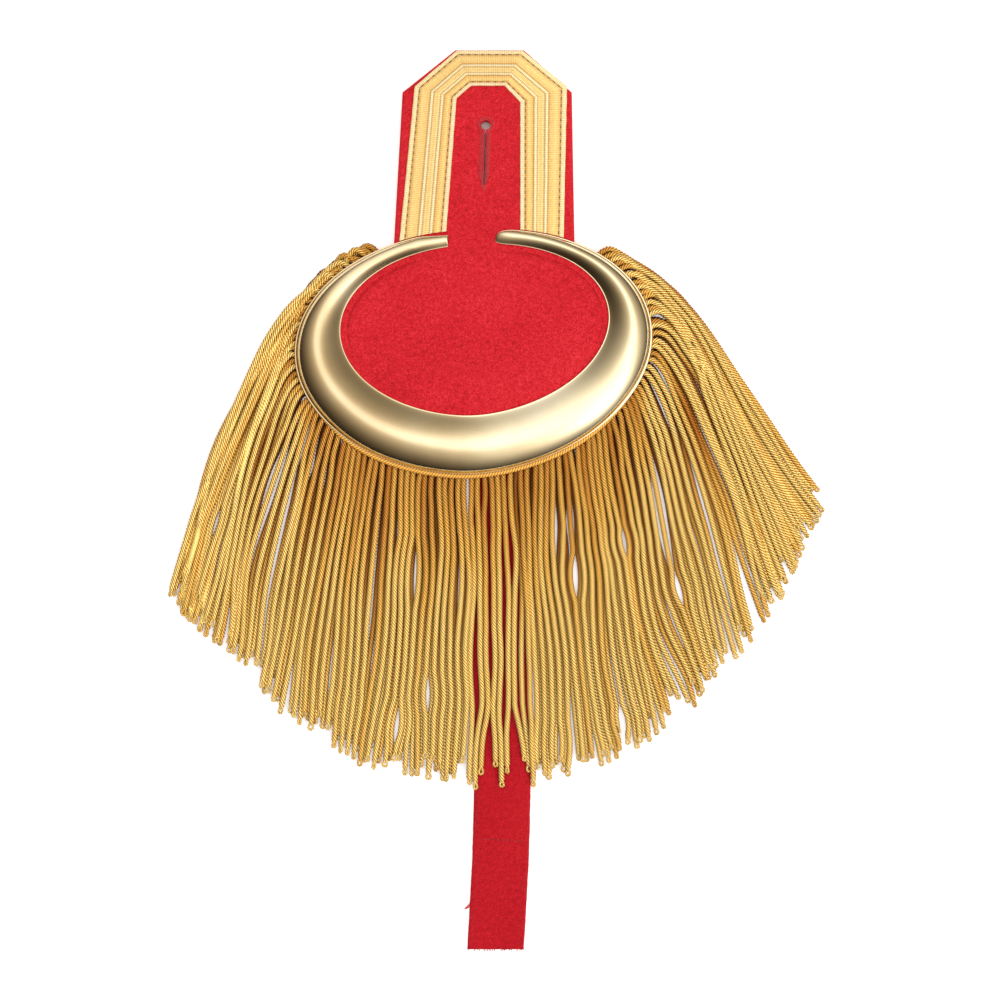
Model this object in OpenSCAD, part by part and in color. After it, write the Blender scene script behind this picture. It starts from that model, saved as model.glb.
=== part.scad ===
// Epaulette: a cloth-covered strap and pad with a lace border, a pressed metal crescent and a corded fringe.
// It lies face up on the plane z = 0. The origin is under the middle of the crescent, +Y points to the
// strap's head, which buttons near the collar, and the fringe runs out towards -Y.

/* [Pad] */
// Half width of the oval that the crescent's outer edge follows
oval_a = 64; // [56:0.5:72]
// Half depth of that oval
oval_b = 43.6; // [40:0.2:47]
// Slope by which the crescent's right arm is lifted
arm_lift = 0.1; // [0:0.01:0.12]
// Thickness of the pad
pad_t = 6.2; // [6:0.1:8]
// Radius of the cloth's turned edges
cloth_round = 1.4; // [0.8:0.1:1.6]
// Height of the padded field inside the crescent above the pad
field_rise = 1; // [0.4:0.1:1.6]

/* [Strap] */
// Thickness of the strap at its head
strap_t = 3.8; // [3:0.1:5]
// Distance from the crescent's middle to the strap's head
head_y = 109; // [104:0.5:114]
// Radius of the eyelet hole
eyelet_r = 1.7; // [1.4:0.05:1.8]
// Length of the buttonhole's slit below the eyelet
slit_l = 20; // [14:0.5:22]
// Width of the slit
slit_w = 0.5; // [0.4:0.1:0.8]
// Width of the raised stitching round the buttonhole
stitch_w = 1.8; // [1.4:0.1:2]
// Height of that stitching
stitch_t = 0.8; // [0.6:0.1:1]

/* [Lace] */
// Thickness of the woven lace
lace_t = 0.8; // [0.6:0.1:1]
// Extra height of the lace's two ribbed bands
band_rise = 0.3; // [0.2:0.1:0.4]

/* [Crescent] */
// Half width of the crescent's inner edge
inner_a = 48; // [46:0.5:50]
// Half depth of the crescent's inner edge
inner_b = 30.6; // [30:0.2:31.6]
// Thickness of the metal
metal_t = 0.8; // [0.6:0.1:1]
// Width of the flat lip along the outer edge
lip_w = 0.9; // [0.6:0.1:1.1]
// Width of the flat lip along the inner edge
inner_lip_w = 0.4; // [0.3:0.1:0.7]
// How far the crescent's crown leans to its outer edge, 1 for not at all
crown_lean = 1.45; // [1:0.05:1.6]
// Height of the crescent for each millimetre of its width
dome_ratio = 0.22; // [0.18:0.01:0.3]

/* [Fringe] */
// Number of locks in each row
lock_count = 36; // [30:1:38]
// Thickness of one row of strands
row_t = 2.4; // [2.2:0.1:2.4]
// Space left between neighbouring locks
lock_gap = 0.35; // [0.2:0.05:0.6]
// How unevenly the locks end, as a share of their length
tip_spread = 0.03; // [0:0.01:0.04]
// Radius of the cord round the pad's edge
cord_r = 0.95; // [0.8:0.05:1]

/* [Tongue] */
// Width of the tongue
tongue_w = 20.4; // [18:0.2:21]
// Thickness of the tongue
tongue_t = 1.6; // [1.2:0.1:1.6]

/* [Hidden] */
// Gap that keeps one sewn piece clear of the next
seam = 0.1;
// Play round the tongue in its seat
seat_play = 0.2;
eps = 0.5;
oval_steps = 56;
pad_steps = 48;
// Length over which the lifted arm bends away from the straight one
arm_blend = 9;
// Middle of the crescent's inner edge
inner_c = [0.4, 7.9];
crescent_z = pad_t + seam;

// The strap's top slopes from the pad's level at the crease down to its head
crease_y = 40;
strap_tilt = atan((pad_t - strap_t) / (head_y - crease_y));
// Columns: distance along the strap, left edge, right edge
strap_rows = [
    [30, -29.2, 36.4],
    [93.8, -25.5, 35.3],
    [head_y, -6.5, 18.1]
];

// Columns: outer edge x and y, inner edge x and y, at each foot and mitre from left to right
lace_rows = [
    [-26.9, 36, -10.3, 36],
    [-21.1, 95.6, -6, 91.4],
    [-6, head_y - 0.4, -0.9, 95.9],
    [17.6, head_y - 0.4, 11.1, 95.9],
    [33.5, 95.7, 16.7, 90],
    [32.2, 36, 16.7, 36]
];
// Columns: start and end of each ribbed band, as a share of the lace's width from its outer edge
lace_bands = [
    [0.15, 0.38],
    [0.6, 0.83]
];

eyelet = [4.4, 81.9];
slit_lean = -1.8;

// Sweep of the crescent from its left horn round to its right horn
horn_start = 98;
horn_end = 442;
horn_step = 8;
// Stretch over which the right horn is rounded off
horn_round = 7;
dome_steps = 6;
crescent_rise = 0.5;

// Sweep of the fringe's head from the strap's left side round to its right side
fringe_start = 122;
fringe_end = 406;
head_t = 1.6;
head_in = 0.9;
head_low = 1.9;
head_margin = 2;
pad_in = head_in + head_t / 2 + seat_play;
post_step = 7.1;
tip_seed = 11;
lock_stations = 6;
// Power that crowds the stations towards the root, where a lock bends
crowding = 1.4;
lock_root_in = 1.2;
row_gap = 0.3;
shoulder = 0.22;
// Part of the rim where the tongue takes the under row's place
tongue_start = 262;
tongue_end = 291;
// Columns: root angle, tip x and y, heading and reach at the root, heading and reach at the tip
guides = [
    [122, -106.7, -78.9, 181, 42, 246, 67],
    [145, -105, -90, 187, 22, 248, 68],
    [160, -103, -94.5, 190, 14, 250, 64],
    [180, -99.3, -98.8, 200, 9, 252, 60],
    [200, -88.2, -107.2, 223, 8, 254, 52],
    [220, -68.7, -130.4, 250, 11, 259, 37],
    [240, -43, -146.5, 263, 15, 263, 35],
    [270, 0, -155.4, 270, 30, 270, 30],
    [290, 26, -154.2, 273, 27, 273, 30],
    [310, 56.6, -142.9, 283, 16, 278, 34],
    [331, 83.5, -120.2, 306, 12, 284, 44],
    [345, 98.4, -106, 330, 12, 287, 58],
    [360, 112.8, -87.2, 353, 12.2, 293, 69],
    [385, 117.4, -75.2, 360, 20.4, 293, 65],
    [406, 127.1, -52.4, 358, 42.7, 317, 47.5]
];

// Columns: distance along the tongue, middle of its width
tongue_rows = [
    [-19, 8.4],
    [-80, 8.9],
    [-154, 10.4],
    [-182, 9.7],
    [-214, 7.9]
];

function lifted(p) = [p.x, p.y + arm_lift * (p.x + sqrt(p.x * p.x + arm_blend * arm_blend)) / 2];
function rim(deg, grow = 0) = lifted([(oval_a + grow) * cos(deg), (oval_b + grow) * sin(deg)]);
function inner_edge(deg, grow = 0) =
    lifted([inner_c.x + (inner_a + grow) * cos(deg), inner_c.y + (inner_b + grow) * sin(deg)]);
function turn(k) = 360 * k / oval_steps;
function toward(deg, reach) = reach * [cos(deg), sin(deg)];
function between(from, to, share) = from + (to - from) * share;
function reversed(list) = [for (k = [len(list) - 1:-1:0]) list[k]];

// Closed solid through a list of rings that all have the same number of points
module skin(rings) {
    n = len(rings[0]);
    last = len(rings) - 1;
    polyhedron(
        points = [for (ring = rings) each ring],
        faces = concat(
            [[for (i = [n - 1:-1:0]) i]],
            [for (k = [0:last - 1]) for (i = [0:n - 1])
                each [[k * n + i, k * n + (i + 1) % n, (k + 1) * n + i],
                      [k * n + (i + 1) % n, (k + 1) * n + (i + 1) % n, (k + 1) * n + i]]],
            [[for (i = [0:n - 1]) last * n + i]]
        )
    );
}

// Stands its children, drawn flat with y = 0 at the crease, on the strap's sloping top
module on_strap() {
    translate([0, crease_y, pad_t]) rotate([-strap_tilt, 0, 0]) translate([0, -crease_y, 0]) children();
}

function strap_side(column) = lookup(crease_y, [for (row = strap_rows) [row[0], row[column]]]);
function top_z(y) = pad_t - max(0, y - crease_y) * tan(strap_tilt);

// Angles clockwise round the pad's oval, from the strap's right side to its left side, for an outline drawn
// in by inset
function pad_angles(inset) =
    let (a = oval_a - pad_in - inset, from = 360 + acos((strap_side(2) - inset) / a),
         to = acos((strap_side(1) + inset) / a))
    [for (k = [0:pad_steps]) between(from, to, k / pad_steps)];

// Outline of strap and pad, clockwise from the strap's left shoulder
function outline(inset) =
    let (shoulders = strap_rows[1], head = strap_rows[2])
    concat(
        [[shoulders[1] + inset, shoulders[0]],
         [head[1] + inset / 2, head[0] - inset],
         [head[2] - inset / 2, head[0] - inset],
         [shoulders[2] - inset, shoulders[0]]],
        [for (deg = pad_angles(inset)) rim(deg, -pad_in - inset)]
    );
// Outline of the field inside the crescent, point for point with the outline above
function field_outline(inset) =
    let (pad = pad_angles(0), from = pad[pad_steps], to = pad[0] - 360)
    [for (deg = concat([for (k = [1:4]) between(from, to, k / 5)], pad)) inner_edge(deg, -inset)];

function level_ring(points, z) = [for (p = points) [p.x, p.y, z]];
function sloping_ring(points, drop) = [for (p = points) [p.x, p.y, top_z(p.y) - drop]];

module board_form()
    skin([
        level_ring(outline(cloth_round / 2), 0),
        level_ring(outline(0), cloth_round / 2),
        sloping_ring(outline(0), cloth_round),
        sloping_ring(outline(cloth_round / 3), cloth_round / 3),
        sloping_ring(outline(cloth_round), 0),
        level_ring(field_outline(lip_w), pad_t),
        level_ring(field_outline(lip_w + field_rise / 4), pad_t + field_rise / 3),
        level_ring(field_outline(lip_w + field_rise), pad_t + field_rise * 3 / 4),
        level_ring(field_outline(lip_w + 4 * field_rise), pad_t + field_rise)
    ]);

module board() color("crimson")
    difference() {
        board_form();
        translate([eyelet.x, eyelet.y, -eps]) {
            cylinder(r = eyelet_r, h = pad_t + 2 * eps, $fn = 48);
            rotate([0, 0, slit_lean]) translate([-slit_w / 2, -slit_l - eyelet_r, 0])
                cube([slit_w, slit_l + eyelet_r, pad_t + 2 * eps]);
        }
        tongue_seat();
    }

// Seat of the tongue's sewn end in the pad's underside, open at the pad's lower edge
module tongue_seat() {
    seat_w = tongue_w + 4 * seat_play;
    translate([tongue_rows[0][1] - seat_w / 2, -oval_b - eps, -eps])
        cube([seat_w, oval_b + eps + tongue_rows[0][0] + seat_play, tongue_t + seat_play + eps]);
}

// Line along the lace at a share of its width from the outer edge
function lace_line(share) = [for (row = lace_rows) between([row[0], row[1]], [row[2], row[3]], share)];

module lace_strip(from, to, height) {
    linear_extrude(height) polygon(concat(lace_line(from), reversed(lace_line(to))));
}

module lace_border() color("khaki")
    difference() {
        on_strap() translate([0, 0, seam]) union() {
            lace_strip(0, 1, lace_t);
            for (band = lace_bands) lace_strip(band[0], band[1], lace_t + band_rise);
        }
        linear_extrude(4 * pad_t) polygon([for (k = [0:oval_steps - 1]) rim(turn(k), 2 * seat_play)]);
    }

// Outline of the stitching: a ring round the eyelet, and two bars that narrow to the slit's end
module stitching_outline() {
    top_w = eyelet_r + stitch_w * 0.8;
    low_w = top_w * 0.85;
    slit_end = -eyelet_r - slit_l;
    low_y = slit_end * 0.8;
    circle(r = eyelet_r + stitch_w, $fn = 48);
    polygon([[-top_w, 0], [-low_w, low_y], [0, slit_end - stitch_w], [low_w, low_y], [top_w, 0]]);
}

module buttonhole_stitching() color("firebrick")
    on_strap() translate([eyelet.x, eyelet.y, seam]) rotate([0, 0, slit_lean])
        linear_extrude(stitch_t) difference() {
            stitching_outline();
            circle(r = eyelet_r + seam, $fn = 48);
            translate([-slit_w / 2, -slit_l - eyelet_r]) square([slit_w, slit_l + eyelet_r]);
        }

// Height of the arch at t, which runs from -1 at the outer edge to 1 at the inner edge.
// It is round outside and gentle inside.
function arch(t) = pow(1 - t * t, 1 + 0.2 * t);
// Distance between two edges at the same t, with the crown nearer the first
function leaning(from, to, t) = between(from, to, pow((1 + t) / 2, crown_lean));
// Arched section with a flat lip along each edge, as points across the width w and up
function section(w, h) =
    let (turns = [for (k = [0:dome_steps]) -cos(180 * k / dome_steps)],
         from = lip_w, to = w - inner_lip_w)
    concat(
        [[0, 0], [0, metal_t]],
        [for (t = turns) [leaning(from, to, t), metal_t + (h - metal_t) * arch(t)]],
        [[w, metal_t], [w, 0]],
        [for (t = reversed(turns)) [leaning(from + metal_t, to - metal_t, t), (h - metal_t) * arch(t)]]
    );
function horn_scale(deg) =
    let (past = max(0, deg - horn_end + horn_round) / horn_round)
    sqrt(1 - 0.8 * past * past);
function crescent_ring(deg) =
    let (outer = rim(deg), inner = inner_edge(deg), w = norm(inner - outer), across = (inner - outer) / w,
         s = horn_scale(deg))
    [for (p = section(w, dome_ratio * w + crescent_rise))
        let (q = outer + across * (w / 2 + (p[0] - w / 2) * s)) [q.x, q.y, crescent_z + p[1] * s]];

module crescent() color("gold")
    skin([for (deg = concat([for (d = [horn_start:horn_step:horn_end - horn_round]) d],
        [horn_end - horn_round / 2, horn_end])) crescent_ring(deg)]);

// Ring of the edge cord, square to the rim
function cord_ring(deg) =
    let (middle = rim(deg, cord_r + seam), z = 2 * row_t + row_gap + seam + cord_r,
         ahead = rim(deg + 1) - rim(deg - 1), out = [ahead.y, -ahead.x] / norm(ahead))
    [for (way = [0:45:315])
        let (flat = middle + out * cord_r * cos(way))
        [flat.x, flat.y, z + cord_r * sin(way)]];

module edge_cord() color("goldenrod")
    skin([for (deg = [fringe_start - head_margin:5:fringe_end + head_margin]) cord_ring(deg)]);

function tip_of(k) = [guides[k][1], guides[k][2]];
// Length of the line through the guides' tips, up to guide k
function tip_run(k) = k == 0 ? 0 : tip_run(k - 1) + norm(tip_of(k) - tip_of(k - 1));
tip_scale = [for (k = [0:len(guides) - 1]) [tip_run(k), guides[k][0]]];
// Root angle of the strand whose tip lies at a share of that line
function root_at(share) = lookup(share * tip_run(len(guides) - 1), tip_scale);
function guide(deg, column) = lookup(deg, [for (g = guides) [g[0], g[column]]]);
// Four control points of the curve that a strand rooted at an angle follows
function strand(deg) =
    let (root = rim(deg, -lock_root_in), tip = [guide(deg, 1), guide(deg, 2)])
    [root, root + toward(guide(deg, 3), guide(deg, 4)), tip - toward(guide(deg, 5), guide(deg, 6)), tip];
function along(c, u) =
    c[0] * pow(1 - u, 3) + c[1] * 3 * u * pow(1 - u, 2) + c[2] * 3 * u * u * (1 - u) + c[3] * pow(u, 3);
function lock_ring(left, right, z) =
    [for (p = [[0, 0], [shoulder, 1], [1 - shoulder, 1], [1, 0], [1 - shoulder, -1], [shoulder, -1]])
        let (q = left + (right - left) * p[0]) [q.x, q.y, z + p[1] * row_t / 2]];

// One lock between two root angles, resting at height rest and ending at a share of the guides' length.
// Neighbours share the points of the strand between them, so that they stay apart all the way.
module lock(from, to, rest, reach) {
    left = strand(from);
    right = strand(to);
    skin([for (k = [0:lock_stations])
        let (u = pow(k / lock_stations, crowding), v = pow(max(k - 1, 0) / lock_stations, crowding),
             cut = k < lock_stations ? 1 : 1 - (1 - reach) / (1 - v),
             l = between(along(left, v), along(left, u), cut),
             r = between(along(right, v), along(right, u), cut),
             play = (r - l) / norm(r - l) * lock_gap / 2)
        lock_ring(l + play, r - play, rest)]);
}

// Short upright post of the woven head
module head_post(deg) {
    p = rim(deg, -head_in);
    translate([p.x, p.y, head_low]) cylinder(r = head_t / 2, h = pad_t - seam - head_low, $fn = 6);
}

module fringe() color("darkgoldenrod") {
    reaches = rands(1 - 2 * tip_spread, 1, 2 * lock_count, tip_seed);
    for (deg = [fringe_start:post_step:fringe_end - post_step])
        hull() {
            head_post(deg);
            head_post(deg + post_step);
        }
    for (k = [0:lock_count - 1])
        lock(root_at(k / lock_count), root_at((k + 1) / lock_count), 1.5 * row_t + row_gap, reaches[k]);
    for (k = [0:lock_count - 2]) {
        from = root_at((k + 0.5) / lock_count);
        to = root_at((k + 1.5) / lock_count);
        if (from > tongue_end || to < tongue_start)
            lock(from, to, row_t / 2, reaches[lock_count + k] - tip_spread);
    }
}

module tongue() color("crimson")
    linear_extrude(tongue_t) polygon(concat(
        [for (row = tongue_rows) [row[1] - tongue_w / 2, row[0]]],
        reversed([for (row = tongue_rows) [row[1] + tongue_w / 2, row[0]]])
    ));

board();
lace_border();
buttonhole_stitching();
crescent();
edge_cord();
fringe();
tongue();
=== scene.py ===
"""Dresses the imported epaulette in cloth, lace, metal and twisted gold cord, and lights it."""
from __future__ import annotations

import logging
import math
from collections.abc import Callable, Sequence
from dataclasses import dataclass, field
from enum import Enum

import bmesh
import bpy
import numpy as np
from mathutils import Matrix, Vector, noise


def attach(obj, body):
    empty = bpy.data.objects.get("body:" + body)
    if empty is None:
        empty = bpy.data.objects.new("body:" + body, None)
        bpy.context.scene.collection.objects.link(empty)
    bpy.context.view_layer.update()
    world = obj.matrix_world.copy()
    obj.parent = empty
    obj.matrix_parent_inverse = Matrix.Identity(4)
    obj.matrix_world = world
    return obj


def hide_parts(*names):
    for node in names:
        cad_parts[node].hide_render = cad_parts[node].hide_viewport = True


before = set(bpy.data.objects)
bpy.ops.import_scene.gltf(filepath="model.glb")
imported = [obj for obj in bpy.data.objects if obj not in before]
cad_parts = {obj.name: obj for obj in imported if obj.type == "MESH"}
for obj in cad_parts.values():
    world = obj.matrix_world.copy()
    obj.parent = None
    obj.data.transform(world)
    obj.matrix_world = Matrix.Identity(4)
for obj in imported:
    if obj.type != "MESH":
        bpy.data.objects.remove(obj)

MM = 0.001
BODY = "root"
WHITE = "ffffff"

# How far up a normal points on a flat face, at most on a side, and at least on the board's top with its edge.
FLAT_NORMAL = 0.9
SIDE_NORMAL = 0.5
TOP_NORMAL = 0.2

Colour = tuple[float, float, float, float]
Stops = tuple[tuple[float, str], ...]
Inputs = dict[str | int, object]
Socket = bpy.types.NodeSocket
Piece = bpy.types.Object
Shape = bmesh.types.BMesh
log = logging.getLogger("epaulette")


class Slot(Enum):
    """Names of the record's material slots, one for each kind of piece."""

    CLOTH = "red_cloth"
    LACE = "gold_lace"
    THREAD = "red_thread"
    METAL = "gilt_metal"
    CORD = "gold_cord"
    FRINGE = "fringe_cord"
    TONGUE = "tongue_cloth"


class Layer(Enum):
    """What the fringe is made of: its two rows of strands and the loops at their tips."""

    UPPER = "upper"
    LOWER = "lower"
    LOOPS = "loops"


def tint(code: str) -> Colour:
    """Turns a six-digit colour code into linear light.

    Args:
        code: Red, green and blue as hexadecimal digits.

    Returns:
        The colour in linear light, opaque.
    """
    dim_limit, dim_slope, shift, power = 0.04045, 12.92, 0.055, 2.4
    parts = [int(code[i : i + 2], 16) / 255 for i in (0, 2, 4)]
    linear = [p / dim_slope if p <= dim_limit else ((p + shift) / (1 + shift)) ** power for p in parts]
    return (linear[0], linear[1], linear[2], 1.0)


def ease(x: float, low: float, high: float) -> float:
    """Rises smoothly from 0 at low to 1 at high.

    Args:
        x: The value that is tested.
        low: Where the rise starts.
        high: Where it ends.

    Returns:
        A share from 0 to 1.
    """
    t = min(1.0, max(0.0, (x - low) / (high - low)))
    return t * t * (3 - 2 * t)


def cosine(deg: float) -> float:
    """Gives the cosine of an angle in degrees."""
    return math.cos(math.radians(deg))


def sine(deg: float) -> float:
    """Gives the sine of an angle in degrees."""
    return math.sin(math.radians(deg))


def bell(at: np.ndarray | float, middle: float, width: float) -> np.ndarray | float:
    """Gives a bell curve of a given width, which is 1 at its middle."""
    return np.exp(-(((at - middle) / width) ** 2))


def swell(at: np.ndarray, peak: float) -> np.ndarray:
    """Gives a curve that rises from 0 to 1 at its peak and then dies away."""
    return at / peak * np.exp(1 - at / peak)


def unit(ways: np.ndarray) -> np.ndarray:
    """Scales the vectors along the last axis to a length of 1."""
    return ways / np.linalg.norm(ways, axis=-1, keepdims=True)


def left_of(ways: np.ndarray) -> np.ndarray:
    """Turns flat vectors to their left by a quarter turn."""
    return np.stack([-ways[..., 1], ways[..., 0]], axis=-1)


def lengths(line: np.ndarray) -> np.ndarray:
    """Gives the length of a line up to each of its points."""
    return np.concatenate([[0.0], np.cumsum(np.linalg.norm(np.diff(line, axis=0), axis=1))])


# Finishes


@dataclass(frozen=True)
class Grain:
    """Noise in a finish: its specks for each metre, its octaves and its weight."""

    scale: float
    detail: float
    weight: float = 1.0


@dataclass(frozen=True)
class Relief:
    """Relief in a finish: its depth in metres and how much of it shows."""

    depth: float
    strength: float


class Wiring:
    """A node tree that short calls add to and wire."""

    def __init__(self, tree: bpy.types.NodeTree) -> None:
        """Starts on a tree that has its usual nodes.

        Args:
            tree: The tree.
        """
        self.tree = tree
        self.coords = tree.nodes.new("ShaderNodeTexCoord")

    def node(self, kind: str, inputs: Inputs | None = None, **settings: object) -> bpy.types.Node:
        """Adds a node.

        Args:
            kind: The node's type, without its common first part.
            inputs: Values or sources of its inputs, by name or number.
            **settings: Its other properties.

        Returns:
            The node.
        """
        made = self.tree.nodes.new("ShaderNode" + kind)
        for key, value in settings.items():
            setattr(made, key, value)
        for key, value in (inputs or {}).items():
            if isinstance(value, Socket):
                self.tree.links.new(value, made.inputs[key])
            else:
                made.inputs[key].default_value = value
        return made

    def sums(self, operation: str, *terms: float | Socket) -> Socket:
        """Adds a Math node on the terms and returns its result."""
        return self.node("Math", dict(enumerate(terms)), operation=operation).outputs[0]

    def gather(self, *parts: tuple[Socket, float]) -> Socket:
        """Adds up several sources.

        Args:
            *parts: The sources with their weights.

        Returns:
            The sum.
        """
        total, *others = (self.sums("MULTIPLY", source, weight) for source, weight in parts)
        for term in others:
            total = self.sums("ADD", total, term)
        return total

    def waves(self, turns: Socket) -> Socket:
        """Turns an angle into a wave between 0 and 1."""
        return self.sums("MULTIPLY_ADD", self.sums("SINE", turns), 0.5, 0.5)

    def parts(self, vector: Socket) -> tuple[Socket, ...]:
        """Splits a vector into its three parts."""
        return tuple(self.node("SeparateXYZ", {0: vector}).outputs)

    def ramp(self, factor: Socket, stops: Stops) -> Socket:
        """Turns a factor into colours.

        Args:
            factor: A value from 0 to 1.
            stops: Places along it in rising order, with their colour codes.

        Returns:
            The colour.
        """
        made = self.node("ValToRGB", {0: factor})
        points = made.color_ramp.elements
        while len(points) < len(stops):
            points.new(0.5)
        for point, (place, code) in zip(points, stops, strict=True):
            point.position = place
            point.color = tint(code)
        return made.outputs[0]


class NodeSheet(Wiring):
    """The nodes of one material."""

    def __init__(self, name: str) -> None:
        """Starts a material with a Principled shader.

        Args:
            name: The material's name.
        """
        self.material = bpy.data.materials.new(name)
        self.material.use_nodes = True
        super().__init__(self.material.node_tree)
        self.shader = self.tree.nodes["Principled BSDF"]

    def put(self, **values: float | Colour) -> None:
        """Sets plain values on the shader's own sockets, given by name with underscores for blanks."""
        for key, value in values.items():
            self.shader.inputs[key.replace("_", " ")].default_value = value

    def feed(self, socket: str, source: Socket) -> None:
        """Wires a source into one of the shader's sockets."""
        self.tree.links.new(source, self.shader.inputs[socket])

    def specks(self, grain: Grain, where: Socket | None = None) -> Socket:
        """Adds noise.

        Args:
            grain: Its scale and its octaves.
            where: The coordinates, or None for the piece's own Object coordinates.

        Returns:
            The noise from 0 to 1.
        """
        vector = self.coords.outputs["Object"] if where is None else where
        inputs = {"Vector": vector, "Scale": grain.scale, "Detail": grain.detail}
        return self.node("TexNoise", inputs).outputs[0]

    def stray(self, source: Socket, specks: Socket, size: float) -> Socket:
        """Moves a source up and down by noise of a given size."""
        return self.sums("MULTIPLY_ADD", self.sums("SUBTRACT", specks, 0.5), size, source)

    def stored(self, name: str) -> Socket:
        """Reads one of the mesh's own named values."""
        return self.node("Attribute", attribute_name=name).outputs["Fac"]

    def upright(self) -> Socket:
        """Reads how far the surface faces up, from 0 on its sides to 1 on top."""
        return self.parts(self.node("NewGeometry").outputs["Normal"])[2]

    def shade(self, colour: Socket, by: Socket) -> Socket:
        """Multiplies a colour by another one."""
        inputs = {0: 1.0, 6: colour, 7: by}
        return self.node("Mix", inputs, data_type="RGBA", blend_type="MULTIPLY").outputs[2]

    def raise_by(self, height: Socket, relief: Relief) -> Socket:
        """Turns a height from 0 to 1 into relief and returns its normal."""
        inputs = {"Height": height, "Distance": relief.depth, "Strength": relief.strength}
        return self.node("Bump", inputs).outputs[0]


@dataclass(frozen=True)
class FeltedCloth:
    """Milled wool cloth: a soft nap over a fine weave, with a mottled tone that is darker where the nap lies
    low, partly as painted shade.
    """

    name: str = "red_felted_cloth"
    tones: Stops = ((0.34, "9c121d"), (0.5, "c81e2a"), (0.68, "de3842"))
    sheen: str = "ff7a80"
    grains: tuple[Grain, ...] = (Grain(2000.0, 4.0, 0.6), Grain(650.0, 4.0, 0.28), Grain(45.0, 2.0, 0.12))
    threads_per_metre: float = 1500.0
    weave_weight: float = 0.12
    relief: Relief = Relief(0.00035, 0.8)

    def make(self) -> bpy.types.Material:
        """Builds the material.

        Returns:
            The material.
        """
        sheet = NodeSheet(self.name)
        tone = sheet.gather(*((sheet.specks(grain), grain.weight) for grain in self.grains))
        sheet.feed("Base Color", sheet.ramp(tone, self.tones))
        x, y, _ = sheet.parts(sheet.coords.outputs["Object"])
        turns = 2 * math.pi * self.threads_per_metre
        warp, weft = (sheet.sums("SINE", sheet.sums("MULTIPLY", way, turns)) for way in (x, y))
        weave = sheet.sums("MULTIPLY", warp, weft)
        # The same mottle raises the nap, so its darker places lie lower: partly real tone, partly painted
        # shade.
        height = sheet.sums("MULTIPLY_ADD", weave, self.weave_weight, tone)
        sheet.feed("Normal", sheet.raise_by(height, self.relief))
        sheet.put(Roughness=0.92, Specular_IOR_Level=0.2)
        sheet.put(Sheen_Weight=0.22, Sheen_Roughness=0.45, Sheen_Tint=tint(self.sheen))
        return sheet.material


@dataclass(frozen=True)
class PolishedMetal:
    """Pale gilt metal, polished by hand, with hazy worn patches and hair-fine scratches, and painted shade
    over its left half.
    """

    name: str = "pale_gilt_metal"
    gilt: Stops = ((0.35, "e2cea8"), (0.62, "f0e0be"))
    left_shade: Stops = ((0.0, "dcd2c4"), (1.0, WHITE))
    left_shade_from: float = -0.062
    left_shade_to: float = 0.0
    haze: Grain = Grain(38.0, 4.0, 0.12)
    polish: Grain = Grain(900.0, 2.0, 0.042)
    least_rough: float = 0.055
    scratches: Grain = Grain(1.0, 2.0)
    scratch_scale: tuple[float, float, float] = (260.0, 3200.0, 900.0)
    relief: Relief = Relief(0.00001, 0.35)

    def make(self) -> bpy.types.Material:
        """Builds the material.

        Returns:
            The material.
        """
        sheet = NodeSheet(self.name)
        place = sheet.coords.outputs["Object"]
        haze, polish = sheet.specks(self.haze), sheet.specks(self.polish)
        # Painted shade: darker towards the left, fully from 62 mm left of the middle, fading out at the
        # middle.
        limits = {"Value": sheet.parts(place)[0], "From Min": self.left_shade_from, "From Max": self.left_shade_to}
        left_shade = sheet.ramp(sheet.node("MapRange", limits).outputs["Result"], self.left_shade)
        sheet.feed("Base Color", sheet.shade(sheet.ramp(haze, self.gilt), left_shade))
        rough = sheet.gather((haze, self.haze.weight), (polish, self.polish.weight))
        sheet.feed("Roughness", sheet.sums("ADD", rough, self.least_rough))
        stretched = sheet.node("Mapping", {"Vector": place, "Scale": self.scratch_scale}).outputs[0]
        sheet.feed("Normal", sheet.raise_by(sheet.specks(self.scratches, stretched), self.relief))
        sheet.put(Metallic=1.0)
        return sheet.material


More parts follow.
